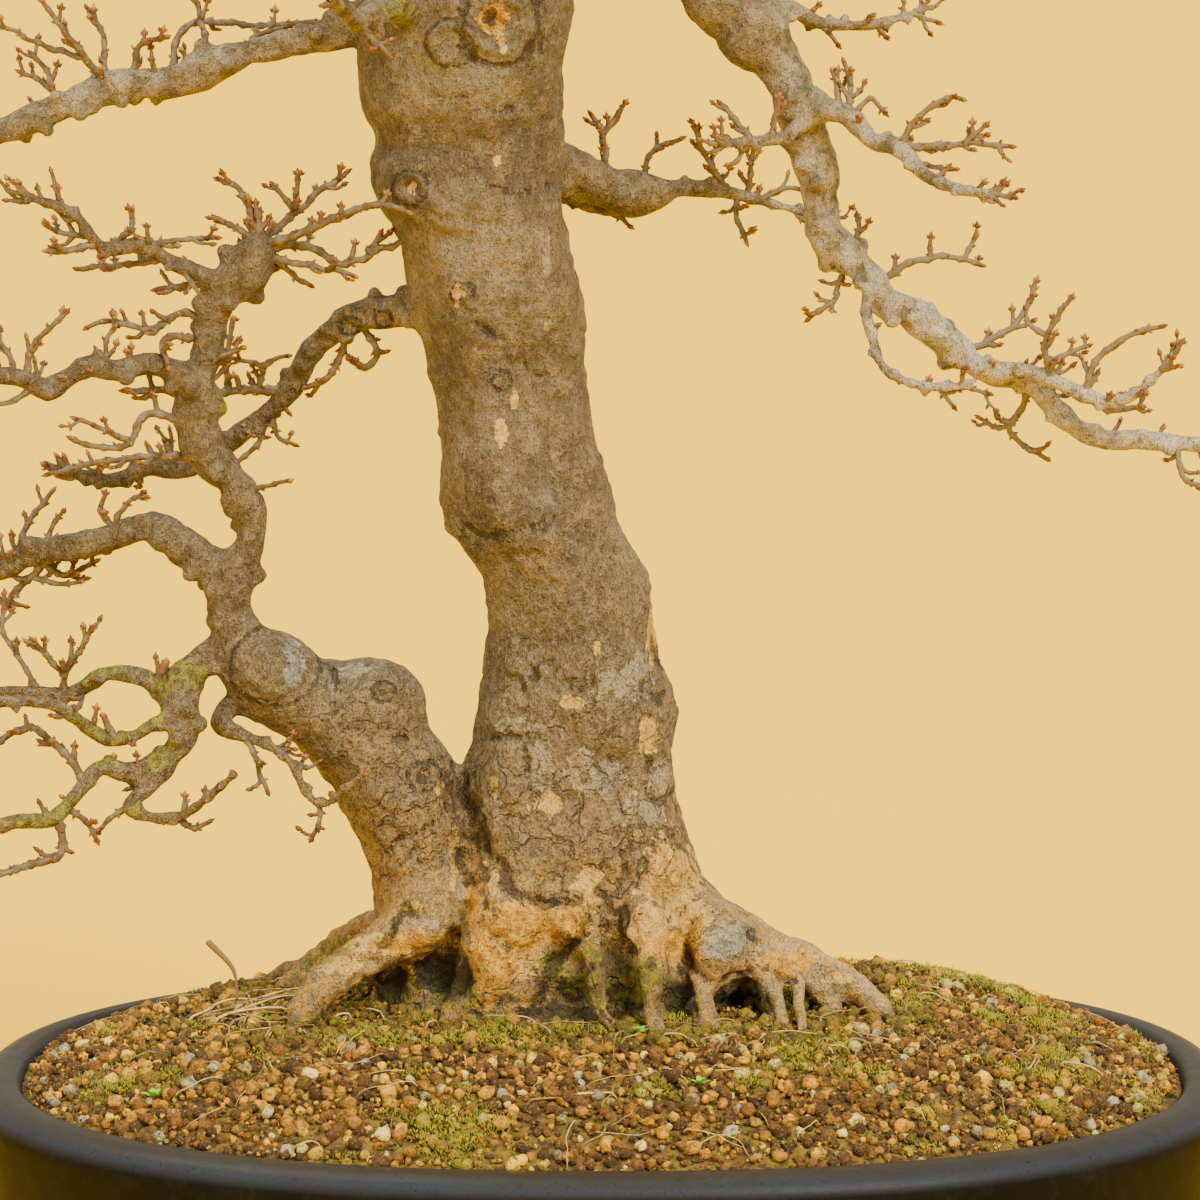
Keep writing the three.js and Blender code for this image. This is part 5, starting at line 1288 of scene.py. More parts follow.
def add_bud(heap, root, way, length, radius, roll):
    """A pointed bud, with a sharp swelling near its foot."""
    points = root + np.outer(BUD_STEPS * length, way)
    tip = (1 - BUD_STEPS[-1]) * length / radius
    made, faces = tube(points, radius * BUD_SIZES, BUD_SIDES, tip)
    made = np.clip(made, BOX_LOW + BOX_EDGE, BOX_HIGH - BOX_EDGE)
    share = np.append(np.repeat(BUD_STEPS, BUD_SIDES), [0, 1])
    heap.add(made, faces, share=share, tone=roll())


def twig_path(points, radii, roll):
    """A twig's winding path, with its girth and the distance travelled along it."""
    path, size = curve(points, radii, TWIG_STEP)
    size = size * TWIG_GIRTH
    if len(path) < 4:
        path, size = curve(points, radii * TWIG_GIRTH, SHORT_STEP)
    far = travelled(path)
    ways = directions(path)
    side = unit(np.cross(ways[0], [0.3, 0.9, 0.2]))
    bend = np.column_stack([far, np.full(len(far), 90 * roll()), np.full(len(far), 40 * roll())])
    slack = np.clip(far / 4, 0, 1) * 0.85
    path = path + side * (noise(bend, 5, 21) * slack)[:, None]
    path = path + np.cross(ways, side) * (noise(bend, 4, 22) * slack)[:, None]
    return path, size, far, ways


def add_twig(wood, buds, points, radii, roll, spurs):
    """A twig with nodes: pairs of buds, short spurs, and three buds at its tip."""
    path, size, far, ways = twig_path(points, radii, roll)
    nodes = []
    place = 2.5 + 3 * roll()
    while place < far[-1] - 1.5:
        nodes.append(place)
        place += 4.5 + 3.5 * roll()
    swell = np.ones(len(path))
    for node in nodes:
        swell += 0.5 * np.exp(-(((far - node) / 0.9) ** 2))
    swell += 0.5 * np.exp(-far / 2)
    made, faces = tube(path, size * swell, TWIG_SIDES)
    young = np.clip(1 - (far[-1] - far) / 9, 0, 1)
    wood.add(made, faces, young=np.append(np.repeat(young, TWIG_SIDES), [young[0], young[-1]]))
    turn = 6 * roll()
    for node in nodes:
        i = int(np.searchsorted(far, node))
        way = ways[i]
        side = unit(np.cross(way, [0.31, 0.2, 0.93]))
        up = np.cross(way, side)
        turn += math.pi / 2 + 0.5 * (roll() - 0.5)
        for sign in (1, -1):
            out = sign * (side * math.cos(turn) + up * math.sin(turn))
            lean = unit(out + way * (0.5 + 0.5 * roll()) + 0.25 * UP)
            root = path[i] + out * size[i] * 0.5
            chance = roll()
            if chance < spurs + SPUR_GAIN * (node / far[-1]) * (spurs > 0):
                thick = min(1.3, size[i] * 0.85)
                reach = 3 + 5.5 * roll()
                add_short(wood, buds, root, lean, 0.5, reach, thick * np.array([1, 0.9, 0.8]), roll, 0)
            elif chance < BUD_CHANCE and inside_box(root):
                add_bud(buds, root + out * size[i] * 0.3, lean, 1.6 + roll(), 0.75, roll)
    tip, way = path[-1], ways[-1]
    add_bud(buds, tip - way * 0.6, way, 2.6 + 1.2 * roll(), max(1.1, size[-1] * 0.95), roll)
    for sign in (1, -1):
        out = sign * unit(np.cross(way, [0.2, 0.4, 0.9]))
        add_bud(buds, tip - way * 0.8 + out * 0.6, unit(way + out * 0.8), 2.4, 0.8, roll)


def add_short(wood, buds, root, way, lift, reach, radii, roll, spurs, base=None):
    """A short twig with a knee that turns it up, unless it would leave the box."""
    knee = root + way * reach * 0.5
    tip = knee + unit(way + lift * UP) * reach * 0.5
    twig = np.array([root if base is None else base, knee, tip])
    if inside_box(twig):
        add_twig(wood, buds, twig, radii, roll, spurs)


def side_twig(wood, buds, points, radii, part, reach, roll):
    """A short twig by rule, from a share of the way along a stem."""
    path, size = curve(points, radii, 1)
    i = min(int(part * len(path)), len(path) - 2)
    along = unit(path[i + 1] - path[i])
    side = unit(np.cross(along, [0.1, 0.2, 0.97]))
    up = np.cross(side, along)
    turn = 2 * math.pi * roll()
    out = side * math.cos(turn) + up * (0.35 + math.sin(turn))
    way = unit(along * 0.6 + unit(out))
    thick = min(1.5, size[i] * 0.7)
    shape = thick * np.array([1, 0.85, 0.7])
    add_short(wood, buds, path[i], way, 0.7, reach, shape, roll, SPURS["side"])


def limb_tip(wood, buds, points, radii, roll):
    """A fan of twigs at the end of a limb, unless it ends thick or very thin."""
    points, radii = curve(points, radii, 2)
    way = unit(points[-1] - points[-3])
    if radii[-1] > TIP_LIMB or radii[-1] < LEAST_TIP:
        return
    for spread in TIP_FAN:
        out = unit(way + spread * np.array([0.2, 0.4 * way[0], 1]))
        reach = (9 + 6 * roll()) * (1 if spread == 0 else 0.7)
        thick = min(radii[-1] * 0.75, 1.7)
        shape = thick * np.array([1.3, 1, 0.7])
        add_short(wood, buds, points[-1], out, 0.4, reach, shape, roll, SPURS["tip"], points[-1] - way * 2)


def all_twigs():
    """Every twig and bud, as the lists give them and then by rule on what has grown."""
    wood, buds = Heap("young"), Heap("share", "tone")
    roll = dice(SEEDS["twigs"])
    add_seen(wood, buds, TWIGS, roll, SPURS["seen"])
    sprays = []
    for n, rule in enumerate(SPRAYS, SEEDS["sprays"]):
        sprays += spray(rule, dice(n))
    for points, radii in sprays:
        add_twig(wood, buds, points, radii, roll, SPURS["spray"])
    add_seen(wood, buds, MORE_TWIGS, roll, SPURS["extra"])
    for points, radii in sprays:
        for part in SPRAY_SIDES:
            side_twig(wood, buds, points, radii, part, 12 + 12 * roll(), roll)
    for stems in grown.values():
        limb_tip(wood, buds, *stems[0], roll)
    for name, start, step, length in FRINGES:
        points, radii = curve(*grown[name][0], 1)
        place = start * len(points)
        while place < len(points) - 2:
            side_twig(wood, buds, points, radii, place / len(points), length * (0.5 + roll()), roll)
            place += step * (0.6 + 0.8 * roll())
    return wood, buds


def add_seen(wood, buds, limbs, roll, spurs):
    """The twigs that lists give for each limb."""
    for name, twigs in limbs.items():
        for twig in twigs:
            add_twig(wood, buds, *seen_twig(name, *twig), roll, spurs)


# The soil

def oval_turn(turns):
    """The unit oval at angles, as x and y."""
    power = 2 / OVAL_POWER
    c, s = np.cos(turns), np.sin(turns)
    return np.sign(c) * np.abs(c) ** power, np.sign(s) * np.abs(s) ** power


def oval_share(places, inset):
    """How far places lie from the middle, to the power of the oval, with 1 at an inset from the lip."""
    return (np.abs(places[:, :2] / (LIP_HALF - LIP_WIDTH - inset)) ** OVAL_POWER).sum(axis=1)


def scattered(source, count, inset):
    """Random places inside the lip, as x and y."""
    inner = LIP_HALF - LIP_WIDTH - inset
    turns = source.uniform(0, 2 * math.pi, count)
    reach = source.random(count) ** 0.5
    across, back = oval_turn(turns)
    return inner[0] * reach * across, inner[1] * reach * back


def bed():
    """The soil under its loose grains: a rough top, and plain sides and bottom inside the pot."""
    inner = LIP_HALF - LIP_WIDTH - BED_GAP
    across, back = oval_turn(2 * math.pi * np.arange(BED_SIDES) / BED_SIDES)
    points = []
    for share in np.linspace(0.04, 1, BED_RINGS):
        x, y = inner[0] * share * across, inner[1] * share * back
        points.append(np.column_stack([x, y, soil_height(x, y) - BED_DROP]))
    top = np.concatenate(points)
    top[:, 2] += 1.1 * noise(top, 6, 31) + 0.7 * noise(top, 3, 32) + 0.8 * noise(top, 30, 33)
    rows = [top]
    for inset, z in [(0.8, POT_HEIGHT - 8), (8.6, FLOOR_TOP + 9), (13, BED_FLOOR)]:
        half = inner - inset
        rows.append(np.column_stack([half[0] * across, half[1] * back, np.full(BED_SIDES, z)]))
    centre = [[0, 0, soil_height(0, 0) - BED_DROP], [0, 0, BED_FLOOR]]
    faces = ring_faces(BED_RINGS + len(rows) - 1, BED_SIDES)[:, ::-1]
    return np.concatenate(rows + [centre]), faces


def cube_stone():
    """A unit stone: a cube's corners, edges and faces pushed out to a ball."""
    grid = np.array([p for p in np.ndindex(3, 3, 3) if p != (1, 1, 1)], float) - 1
    place = {tuple(p): n for n, p in enumerate(grid.astype(int))}
    faces = []
    for axis in range(3):
        for sign in (-1, 1):
            u, v = [(1, 2), (2, 0), (0, 1)][axis]
            for a in (-1, 0):
                for b in (-1, 0):
                    corner = []
                    for da, db in [(0, 0), (1, 0), (1, 1), (0, 1)]:
                        spot = [0, 0, 0]
                        spot[axis], spot[u], spot[v] = sign, a + da, b + db
                        corner.append(place[tuple(spot)])
                    quad = corner if sign > 0 else corner[::-1]
                    faces += [[quad[0], quad[1], quad[2]], [quad[0], quad[2], quad[3]]]
    reach = np.linalg.norm(grid, axis=1)[:, None]
    return grid / reach ** 0.85, np.array(faces)


def plain_stone():
    """A unit stone with twenty faces."""
    g = (1 + 5 ** 0.5) / 2
    points = np.array([
        [-1, g, 0], [1, g, 0], [-1, -g, 0], [1, -g, 0], [0, -1, g], [0, 1, g],
        [0, -1, -g], [0, 1, -g], [g, 0, -1], [g, 0, 1], [-g, 0, -1], [-g, 0, 1],
    ]) / math.hypot(1, g)
    faces = [
        [0, 11, 5], [0, 5, 1], [0, 1, 7], [0, 7, 10], [0, 10, 11], [1, 5, 9], [5, 11, 4],
        [11, 10, 2], [10, 7, 6], [7, 1, 8], [3, 9, 4], [3, 4, 2], [3, 2, 6], [3, 6, 8],
        [3, 8, 9], [4, 9, 5], [2, 4, 11], [6, 2, 10], [8, 6, 7], [9, 8, 1],
    ]
    return points, np.array(faces)


def turned(source):
    """A random turn, from a random generator."""
    a, b, c, d = source.normal(size=4)
    size = math.sqrt(a * a + b * b + c * c + d * d)
    a, b, c, d = a / size, b / size, c / size, d / size
    return np.array([
        [1 - 2 * (c * c + d * d), 2 * (b * c - a * d), 2 * (b * d + a * c)],
        [2 * (b * c + a * d), 1 - 2 * (b * b + d * d), 2 * (c * d - a * b)],
        [2 * (b * d - a * c), 2 * (c * d + a * b), 1 - 2 * (b * b + c * c)],
    ])


def mossy(x, y):
    """How mossy the soil is, from 0 to 1."""
    spots = np.column_stack([x, y, np.zeros(len(x))])
    share = 0.5 * noise(spots, 26, 41) + 0.4 * noise(spots, 11, 42) + 0.2 * noise(spots, 5, 43) - 0.22
    for *place, gain in MOSS_PATCHES:
        share += gain * blob(x, y, place)
    return np.clip(share * 2.2, 0, 1)


def grain_places(source):
    """Places inside the lip, in rows with a random stray."""
    inner = LIP_HALF - LIP_WIDTH
    row = GRAIN_SPACING * math.sqrt(0.75)
    spots = []
    for j in range(int(2 * inner[1] / row) + 1):
        for i in range(int(2 * inner[0] / GRAIN_SPACING) + 1):
            stray = source.uniform(-0.42, 0.42, 2) * GRAIN_SPACING
            x = -inner[0] + (i + (j % 2) / 2) * GRAIN_SPACING + stray[0]
            y = -inner[1] + j * row + stray[1]
            spots.append([x, y])
    return np.array(spots)


def grains(field):
    """Loose grains over the bed, as near and far heaps."""
    source = np.random.default_rng(SEEDS["grains"])
    near, far = Heap("kind", "tone", "moss"), Heap("kind", "tone", "moss")
    spots = grain_places(source)
    least, usual, most = GRAIN_SIZES
    radii = np.clip(source.lognormal(math.log(usual), 0.4, len(spots)), least, most)
    share = oval_share(spots, 1.6 + radii[:, None])
    lift = radii * source.uniform(0.0, 0.75, len(spots))
    centres = np.column_stack([spots, soil_height(spots[:, 0], spots[:, 1]) - 1.2 + lift])
    clear = field.at(centres) > 0.35 * radii
    kept = (share < 1) & clear & (source.random(len(spots)) < 0.93)
    centres, radii = centres[kept], radii[kept]
    moss = mossy(centres[:, 0], centres[:, 1])
    litter = np.clip(1 - field.at(centres) / (FIELD_REACH - 2), 0, 1) ** 0.5
    near_stone, far_stone = cube_stone(), plain_stone()
    for centre, radius, green, dull in zip(centres, radii, moss, litter):
        close = centre[1] < NEAR_GRAINS
        stone, faces = near_stone if close else far_stone
        form = stone * source.uniform(0.78, 1.12, 3)
        form = form * (1 + source.normal(0, 0.12, (len(form), 1)))
        body = centre + radius * form @ turned(source).T
        bright = 0.06 * (radius - 2)
        kind = min(max(source.random() ** 1.3 + bright, 0), 0.999) * (1 - 0.6 * dull)
        green = max(green, 0.9 * dull) * source.uniform(0.3, 1)
        heap = near if close else far
        heap.add(body, faces, kind=kind, tone=source.random(), moss=green)
    return near, far


def crumbs(field):
    """Small broken grains and dust between the bigger ones."""
    source = np.random.default_rng(SEEDS["crumbs"])
    heap = Heap("kind", "tone", "moss")
    stone = np.array([[1, 0, 0], [-0.5, 0.87, 0], [-0.5, -0.87, 0], [0, 0, 1], [0, 0, -0.8]])
    faces = np.array([[0, 1, 3], [1, 2, 3], [2, 0, 3], [1, 0, 4], [2, 1, 4], [0, 2, 4]])
    x, y = scattered(source, CRUMB_COUNT, 2)
    z = soil_height(x, y) + source.uniform(-0.6, 1.6, CRUMB_COUNT)
    centres = np.column_stack([x, y, z])
    for centre in centres[field.at(centres) > 0.4]:
        body = centre + source.uniform(0.6, 1.4) * stone @ turned(source).T
        heap.add(body, faces, kind=source.random() ** 1.6, tone=source.random(), moss=0.3)
    return heap


def moss_tufts(field):
    """Moss as small pointed leaves, thick where the soil is mossy."""
    source = np.random.default_rng(SEEDS["moss"])
    heap = Heap("tone", "share")
    x, y = scattered(source, MOSS_TRIES, 4)
    centres = np.column_stack([x, y, soil_height(x, y)])
    lush = mossy(x, y)
    chosen = (source.random(MOSS_TRIES) < lush ** 1.3) & (field.at(centres) > 0.2)
    for centre, green in zip(centres[chosen], lush[chosen]):
        lean = unit(np.array([source.normal(0, 0.5), source.normal(0, 0.5), 1]))
        side = unit(np.cross(lean, [0.3, 0.9, 0.1]))
        up = np.cross(lean, side)
        size = source.uniform(0.25, 0.5)
        high = source.uniform(1.6, 3.4) * (0.6 + 0.5 * green)
        base = centre + source.uniform(-0.8, 1.6) * UP
        turns = source.uniform(0, 6) + np.array([0, 2.1, 4.2])
        foot = base + size * (np.outer(np.cos(turns), side) + np.outer(np.sin(turns), up))
        body = np.concatenate([foot, [base + lean * high]])
        faces = [[0, 1, 3], [1, 2, 3], [2, 0, 3], [2, 1, 0]]
        heap.add(body, faces, tone=source.random(), share=[0, 0, 0, 1])
    return heap


def thread(heap, start, heading, length, radius, source, lift):
    """A thin rootlet that wanders over the soil, ends in it, and keeps inside the lip."""
    steps = max(int(length / THREAD_STEP), 3)
    points, turn = [np.array(start, float)], heading
    for n in range(steps):
        turn += source.normal(0, 0.22)
        x = points[-1][0] + THREAD_STEP * math.cos(turn)
        y = points[-1][1] + THREAD_STEP * math.sin(turn)
        rise = lift * (0.4 + math.sin(math.pi * (n + 1) / steps))
        points.append(np.array([x, y, float(soil_height(x, y)) + 1.3 + rise]))
    points = np.array(points)
    inside = oval_share(points, 3) < 1
    kept = int(inside.sum()) if inside[0] else 0
    points = points[:max(kept, 2)]
    points[-1, 2] -= 2.5
    made, faces = tube(points, radius * np.linspace(1, 0.5, len(points)), 4)
    heap.add(made, faces, tone=source.random())


def rootlets():
    """Pale rootlets and dry stalks that lie on the soil."""
    source = np.random.default_rng(SEEDS["rootlets"])
    heap = Heap("tone")
    for x, z, count, spread, length, heading in THREADS:
        for _ in range(count):
            u = x + source.normal(0, spread)
            w = z + source.normal(0, spread * 0.25)
            start = seen(u, w, soil_depth(u, w))
            turn = heading + source.normal(0, 0.5)
            reach, radius = length * source.uniform(0.5, 1.4), source.uniform(0.35, 0.7)
            thread(heap, start, turn, reach, radius, source, source.uniform(0.2, 2.6))
    inner = LIP_HALF - LIP_WIDTH - 10
    for _ in range(STRAY_THREADS):
        across, back = oval_turn(source.uniform(0, 2 * math.pi))
        out = 0.35 + 0.62 * source.random()
        x, y = inner[0] * out * across, inner[1] * out * back
        turn, reach, radius = source.uniform(0, 6.3), source.uniform(8, 34), source.uniform(0.2, 0.4)
        thread(heap, [x, y, soil_height(x, y)], turn, reach, radius, source, source.uniform(0.2, 2))
    return heap


def sprouts():
    """Bright seedlings, each a few small leaves."""
    source = np.random.default_rng(SEEDS["sprouts"])
    heap = Heap("tone", "share")
    faces = []
    for first in (0, 1, 2, 4, 5, 6):
        faces += [[first, first + 4, first + 5], [first, first + 5, first + 1]]
    for x, z, count, size in SPROUTS:
        base = seen(x, z, soil_depth(x, z))
        for n in range(count):
            turn = 2 * math.pi * n / count + source.uniform(-0.3, 0.3)
            way = unit(np.array([math.cos(turn), math.sin(turn), source.uniform(0.5, 1.3)]))
            side = unit(np.cross(way, UP))
            wide = (LEAF_WIDTHS * size)[:, None]
            spine = base + np.outer(LEAF_STEPS * size, way) + np.outer(LEAF_CURL, size * UP) + 0.8 * UP
            up = np.cross(side, way) * 0.08 * size
            body = np.concatenate([spine - side * wide + up, spine, spine + side * wide + up])
            heap.add(body, faces, tone=-1, share=np.tile(LEAF_TONES, 3))
    return heap


def dead_stem(heap):
    """A thin dead stem that stands in the soil."""
    points = [seen(x, z, STEM_DEPTH) for x, z in STEM_PATH]
    path, radii = curve(points, STEM_RADII, 1.5)
    made, faces = tube(path, radii, 5)
    heap.add(made, faces, tone=-0.5)


# The pot

def oval_ring(inset, z, sides):
    """A level ring of the pot's oval, moved in by an inset."""
    across, back = oval_turn(2 * math.pi * np.arange(sides) / sides)
    half = LIP_HALF - inset
    return np.column_stack([half[0] * across, half[1] * back, np.full(sides, z)])


def pot_body(material):
    """The pot's shell, with its outline rounded at each turn and two drain holes."""
    rings = [oval_ring(inset, z, POT_SIDES) for inset, z in rounded(POT_OUTLINE, POT_ROUNDING)]
    points = np.concatenate(rings + [[[0, 0, FOOT_HEIGHT], [0, 0, FLOOR_TOP]]])
    points[:, :2] *= (1 + 0.0008 * noise(points * [1, 1, 0.4], 60, 51))[:, None]
    pot = build_piece("pot_body", material, "pot", points, ring_faces(len(rings), POT_SIDES))
    for x in (-DRAIN_OFFSET, DRAIN_OFFSET):
        drill(pot, x)
    return pot


def drill(pot, x):
    """Cuts a drain hole through the pot's floor."""
    turns = 2 * math.pi * np.arange(DRAIN_SIDES) / DRAIN_SIDES
    circle = np.column_stack([x + DRAIN_RADIUS * np.cos(turns), DRAIN_RADIUS * np.sin(turns)])
    top = FLOOR_TOP + 20
    ends = [np.column_stack([circle, np.full(DRAIN_SIDES, z)]) for z in (0, top)]
    points = np.concatenate(ends + [[[x, 0, 0], [x, 0, top]]])
    mesh = bpy.data.meshes.new("drain")
    mesh.from_pydata((points * MM).tolist(), [], ring_faces(2, DRAIN_SIDES).tolist())
    cutter = add_object("drain", mesh)
    cut = pot.modifiers.new("drain", "BOOLEAN")
    cut.operation = "DIFFERENCE"
    cut.solver = "EXACT"
    cut.object = cutter
    bpy.context.view_layer.update()
    drilled = pot.evaluated_get(bpy.context.evaluated_depsgraph_get())
    drilled = bpy.data.meshes.new_from_object(drilled)
    pot.modifiers.clear()
    pot.data = drilled
    bpy.data.objects.remove(cutter)


def rounded(outline, radius):
    """An outline of inset and height with its corners cut round."""
    outline = np.array(outline, float)
    rows = [outline[0]]
    for before, corner, after in zip(outline[:-2], outline[1:-1], outline[2:]):
        into, out = before - corner, after - corner
        reach = min(radius, 0.45 * np.linalg.norm(into), 0.45 * np.linalg.norm(out))
        a, b = corner + unit(into) * reach, corner + unit(out) * reach
        for t in np.linspace(0, 1, 5):
            rows.append((1 - t) ** 2 * a + 2 * t * (1 - t) * corner + t * t * b)
    rows.append(outline[-1])
    fine = [rows[0]]
    for a, b in zip(rows[:-1], rows[1:]):
        count = max(int(np.linalg.norm(b - a) / 6), 1)
        fine += [a + (b - a) * k / count for k in range(1, count + 1)]
    return fine


def pot_feet(material):
    """Four low feet that follow the oval, with rounded edges."""
    heap = Heap()
    outer, inner = FOOT_INSETS
    top = FOOT_HEIGHT + 3
    corners = [[outer - 1, top], [outer + 3, 0.4], [outer + 5, 0], [inner - 3, 0], [inner, 0.6], [inner, top]]
    section = rounded(corners, FOOT_ROUNDING)
    section = np.array([[inner - 2, top]] + list(section[::-1]))
    for middle in FOOT_MIDDLES:
        rings = []
        for part in np.linspace(-0.5, 0.5, FOOT_RINGS):
            across, back = oval_turn(np.array([math.radians(middle + FOOT_SPAN * part)]))
            end = FOOT_END_RISE * max(abs(part) * 2 - 0.92, 0) / 0.08
            x = (LIP_HALF[0] - section[:, 0]) * across
            y = (LIP_HALF[1] - section[:, 0]) * back
            rings.append(np.column_stack([x, y, np.maximum(section[:, 1], end)]))
        middles = [rings[0].mean(axis=0), rings[-1].mean(axis=0)]
        heap.add(np.concatenate(rings + [middles]), ring_faces(len(rings), len(section)))
    return heap.build("pot_feet", material, "pot")


# Materials

class Paint:
    """A material's nodes, made and joined by short calls. Sizes are in millimetres."""

    def __init__(self, name, roughness):
        self.material = bpy.data.materials.new(name)
        self.material.use_nodes = True
        self.tree = self.material.node_tree
        self.shader = self.tree.nodes["Principled BSDF"]
        self.shader.inputs["Roughness"].default_value = roughness
        self.place = self.node("TexCoord").outputs["Object"]

    def node(self, kind):
        """A new node."""
        return self.tree.nodes.new("ShaderNode" + kind)

    def join(self, source, socket):
        """Joins an output to a socket, or sets a plain value there."""
        if isinstance(source, bpy.types.NodeSocket):
            self.tree.links.new(source, socket)
        else:
            socket.default_value = source

    def axis(self, k):
        """One of the three coordinates, in metres."""
        made = self.node("SeparateXYZ")
        self.join(self.place, made.inputs[0])
        return made.outputs[k]

    def noise(self, size, detail=4, stretch=(1, 1, 1), rough=0.55):
        """Noise with lumps about a size across, as a value about one half."""
        scale = self.node("Mapping")
        self.join(self.place, scale.inputs["Vector"])
        scale.inputs["Scale"].default_value = [s / (size * MM) for s in stretch]
        made = self.node("TexNoise")
        self.join(scale.outputs[0], made.inputs["Vector"])
        made.inputs["Scale"].default_value = 1
        made.inputs["Detail"].default_value = detail
        made.inputs["Roughness"].default_value = rough
        return made.outputs["Fac"]

    def plates(self, size, stray):
        """Ragged plates about a size across: distance from their edges, and a value for each."""
        stir = self.node("TexNoise")
        self.join(self.place, stir.inputs["Vector"])
        stir.inputs["Scale"].default_value = 1.6 / (size * MM)
        stir.inputs["Detail"].default_value = 3
        moved = self.node("VectorMath")
        moved.operation = "MULTIPLY_ADD"
        self.join(stir.outputs["Color"], moved.inputs[0])
        moved.inputs[1].default_value = [stray * size * MM] * 3
        self.join(self.place, moved.inputs[2])
        found = []
        for feature, output in [("DISTANCE_TO_EDGE", "Distance"), ("F1", "Color")]:
            made = self.node("TexVoronoi")
            made.feature = feature
            self.join(moved.outputs[0], made.inputs["Vector"])
            made.inputs["Scale"].default_value = 1 / (size * MM)
            found.append(made.outputs[output])
        split = self.node("SeparateColor")
        self.join(found[1], split.inputs[0])
        return found[0], split.outputs[0]

    def mark(self, name):
        """A mark stored on the mesh."""
        made = self.node("Attribute")
        made.attribute_name = name
        return made.outputs["Fac"]

    def sums(self, operation, a, b):
        """Arithmetic on two values."""
        made = self.node("Math")
        made.operation = operation
        self.join(a, made.inputs[0])
        self.join(b, made.inputs[1])
        return made.outputs[0]

    def plus(self, a, b):
        """The sum of two values."""
        return self.sums("ADD", a, b)

    def times(self, value, *others):
        """The product of values."""
        for other in others:
            value = self.sums("MULTIPLY", value, other)
        return value

    def fit(self, value, low, high, new_low=0.0, new_high=1.0):
        """A value's range moved to another and held inside it."""
        made = self.node("MapRange")
        made.clamp = True
        for socket, number in zip(made.inputs, [value, low, high, new_low, new_high]):
            self.join(number, socket)
        return made.outputs[0]

    def ramp(self, value, stops, steps=False):
        """Colours along a value."""
        made = self.node("ValToRGB")
        if steps:
            made.color_ramp.interpolation = "CONSTANT"
        marks = made.color_ramp.elements
        for n, (place, colour) in enumerate(stops):
            mark = marks[n] if n < 2 else marks.new(place)
            mark.position = place
            mark.color = (*colour, 1)
        self.join(value, made.inputs[0])
        return made.outputs[0]

    def tones(self, value, palette, *stops):
        """Colours of a palette along a value, from pairs of a place and a name."""
        return self.ramp(value, [(place, palette[name]) for place, name in stops])

    def blend(self, share, a, b, kind="MIX"):
        """A colour between two others."""
        made = self.node("Mix")
        made.data_type = "RGBA"
        made.blend_type = kind
        self.join(share, made.inputs[0])
        for colour, socket in [(a, made.inputs[6]), (b, made.inputs[7])]:
            self.join(colour if isinstance(colour, bpy.types.NodeSocket) else (*colour, 1), socket)
        return made.outputs[2]

    def layers(self, colour, palette, rows, mask=None):
        """Lays tones over a colour: name, strength, pattern, and where it sets in and is full."""
        for name, strength, pattern, low, high in rows:
            share = self.fit(pattern, low, high, 0, strength)
            if mask:
                share = self.times(mask, share)
            colour = self.blend(share, colour, palette[name])
        return colour

    def bump(self, *heights):
        """Relief from pairs of a value and its depth in millimetres."""
        normal = None
        for value, depth in heights:
            made = self.node("Bump")
            made.inputs["Distance"].default_value = depth * MM
            self.join(value, made.inputs["Height"])
            if normal:
                self.join(normal, made.inputs["Normal"])
            normal = made.outputs[0]
        self.join(normal, self.shader.inputs["Normal"])

    def finish(self, colour, roughness=None):
        """Joins the colour and the roughness to the shader."""
        self.join(colour, self.shader.inputs["Base Color"])
        if roughness:
            self.join(roughness, self.shader.inputs["Roughness"])
        return self.material


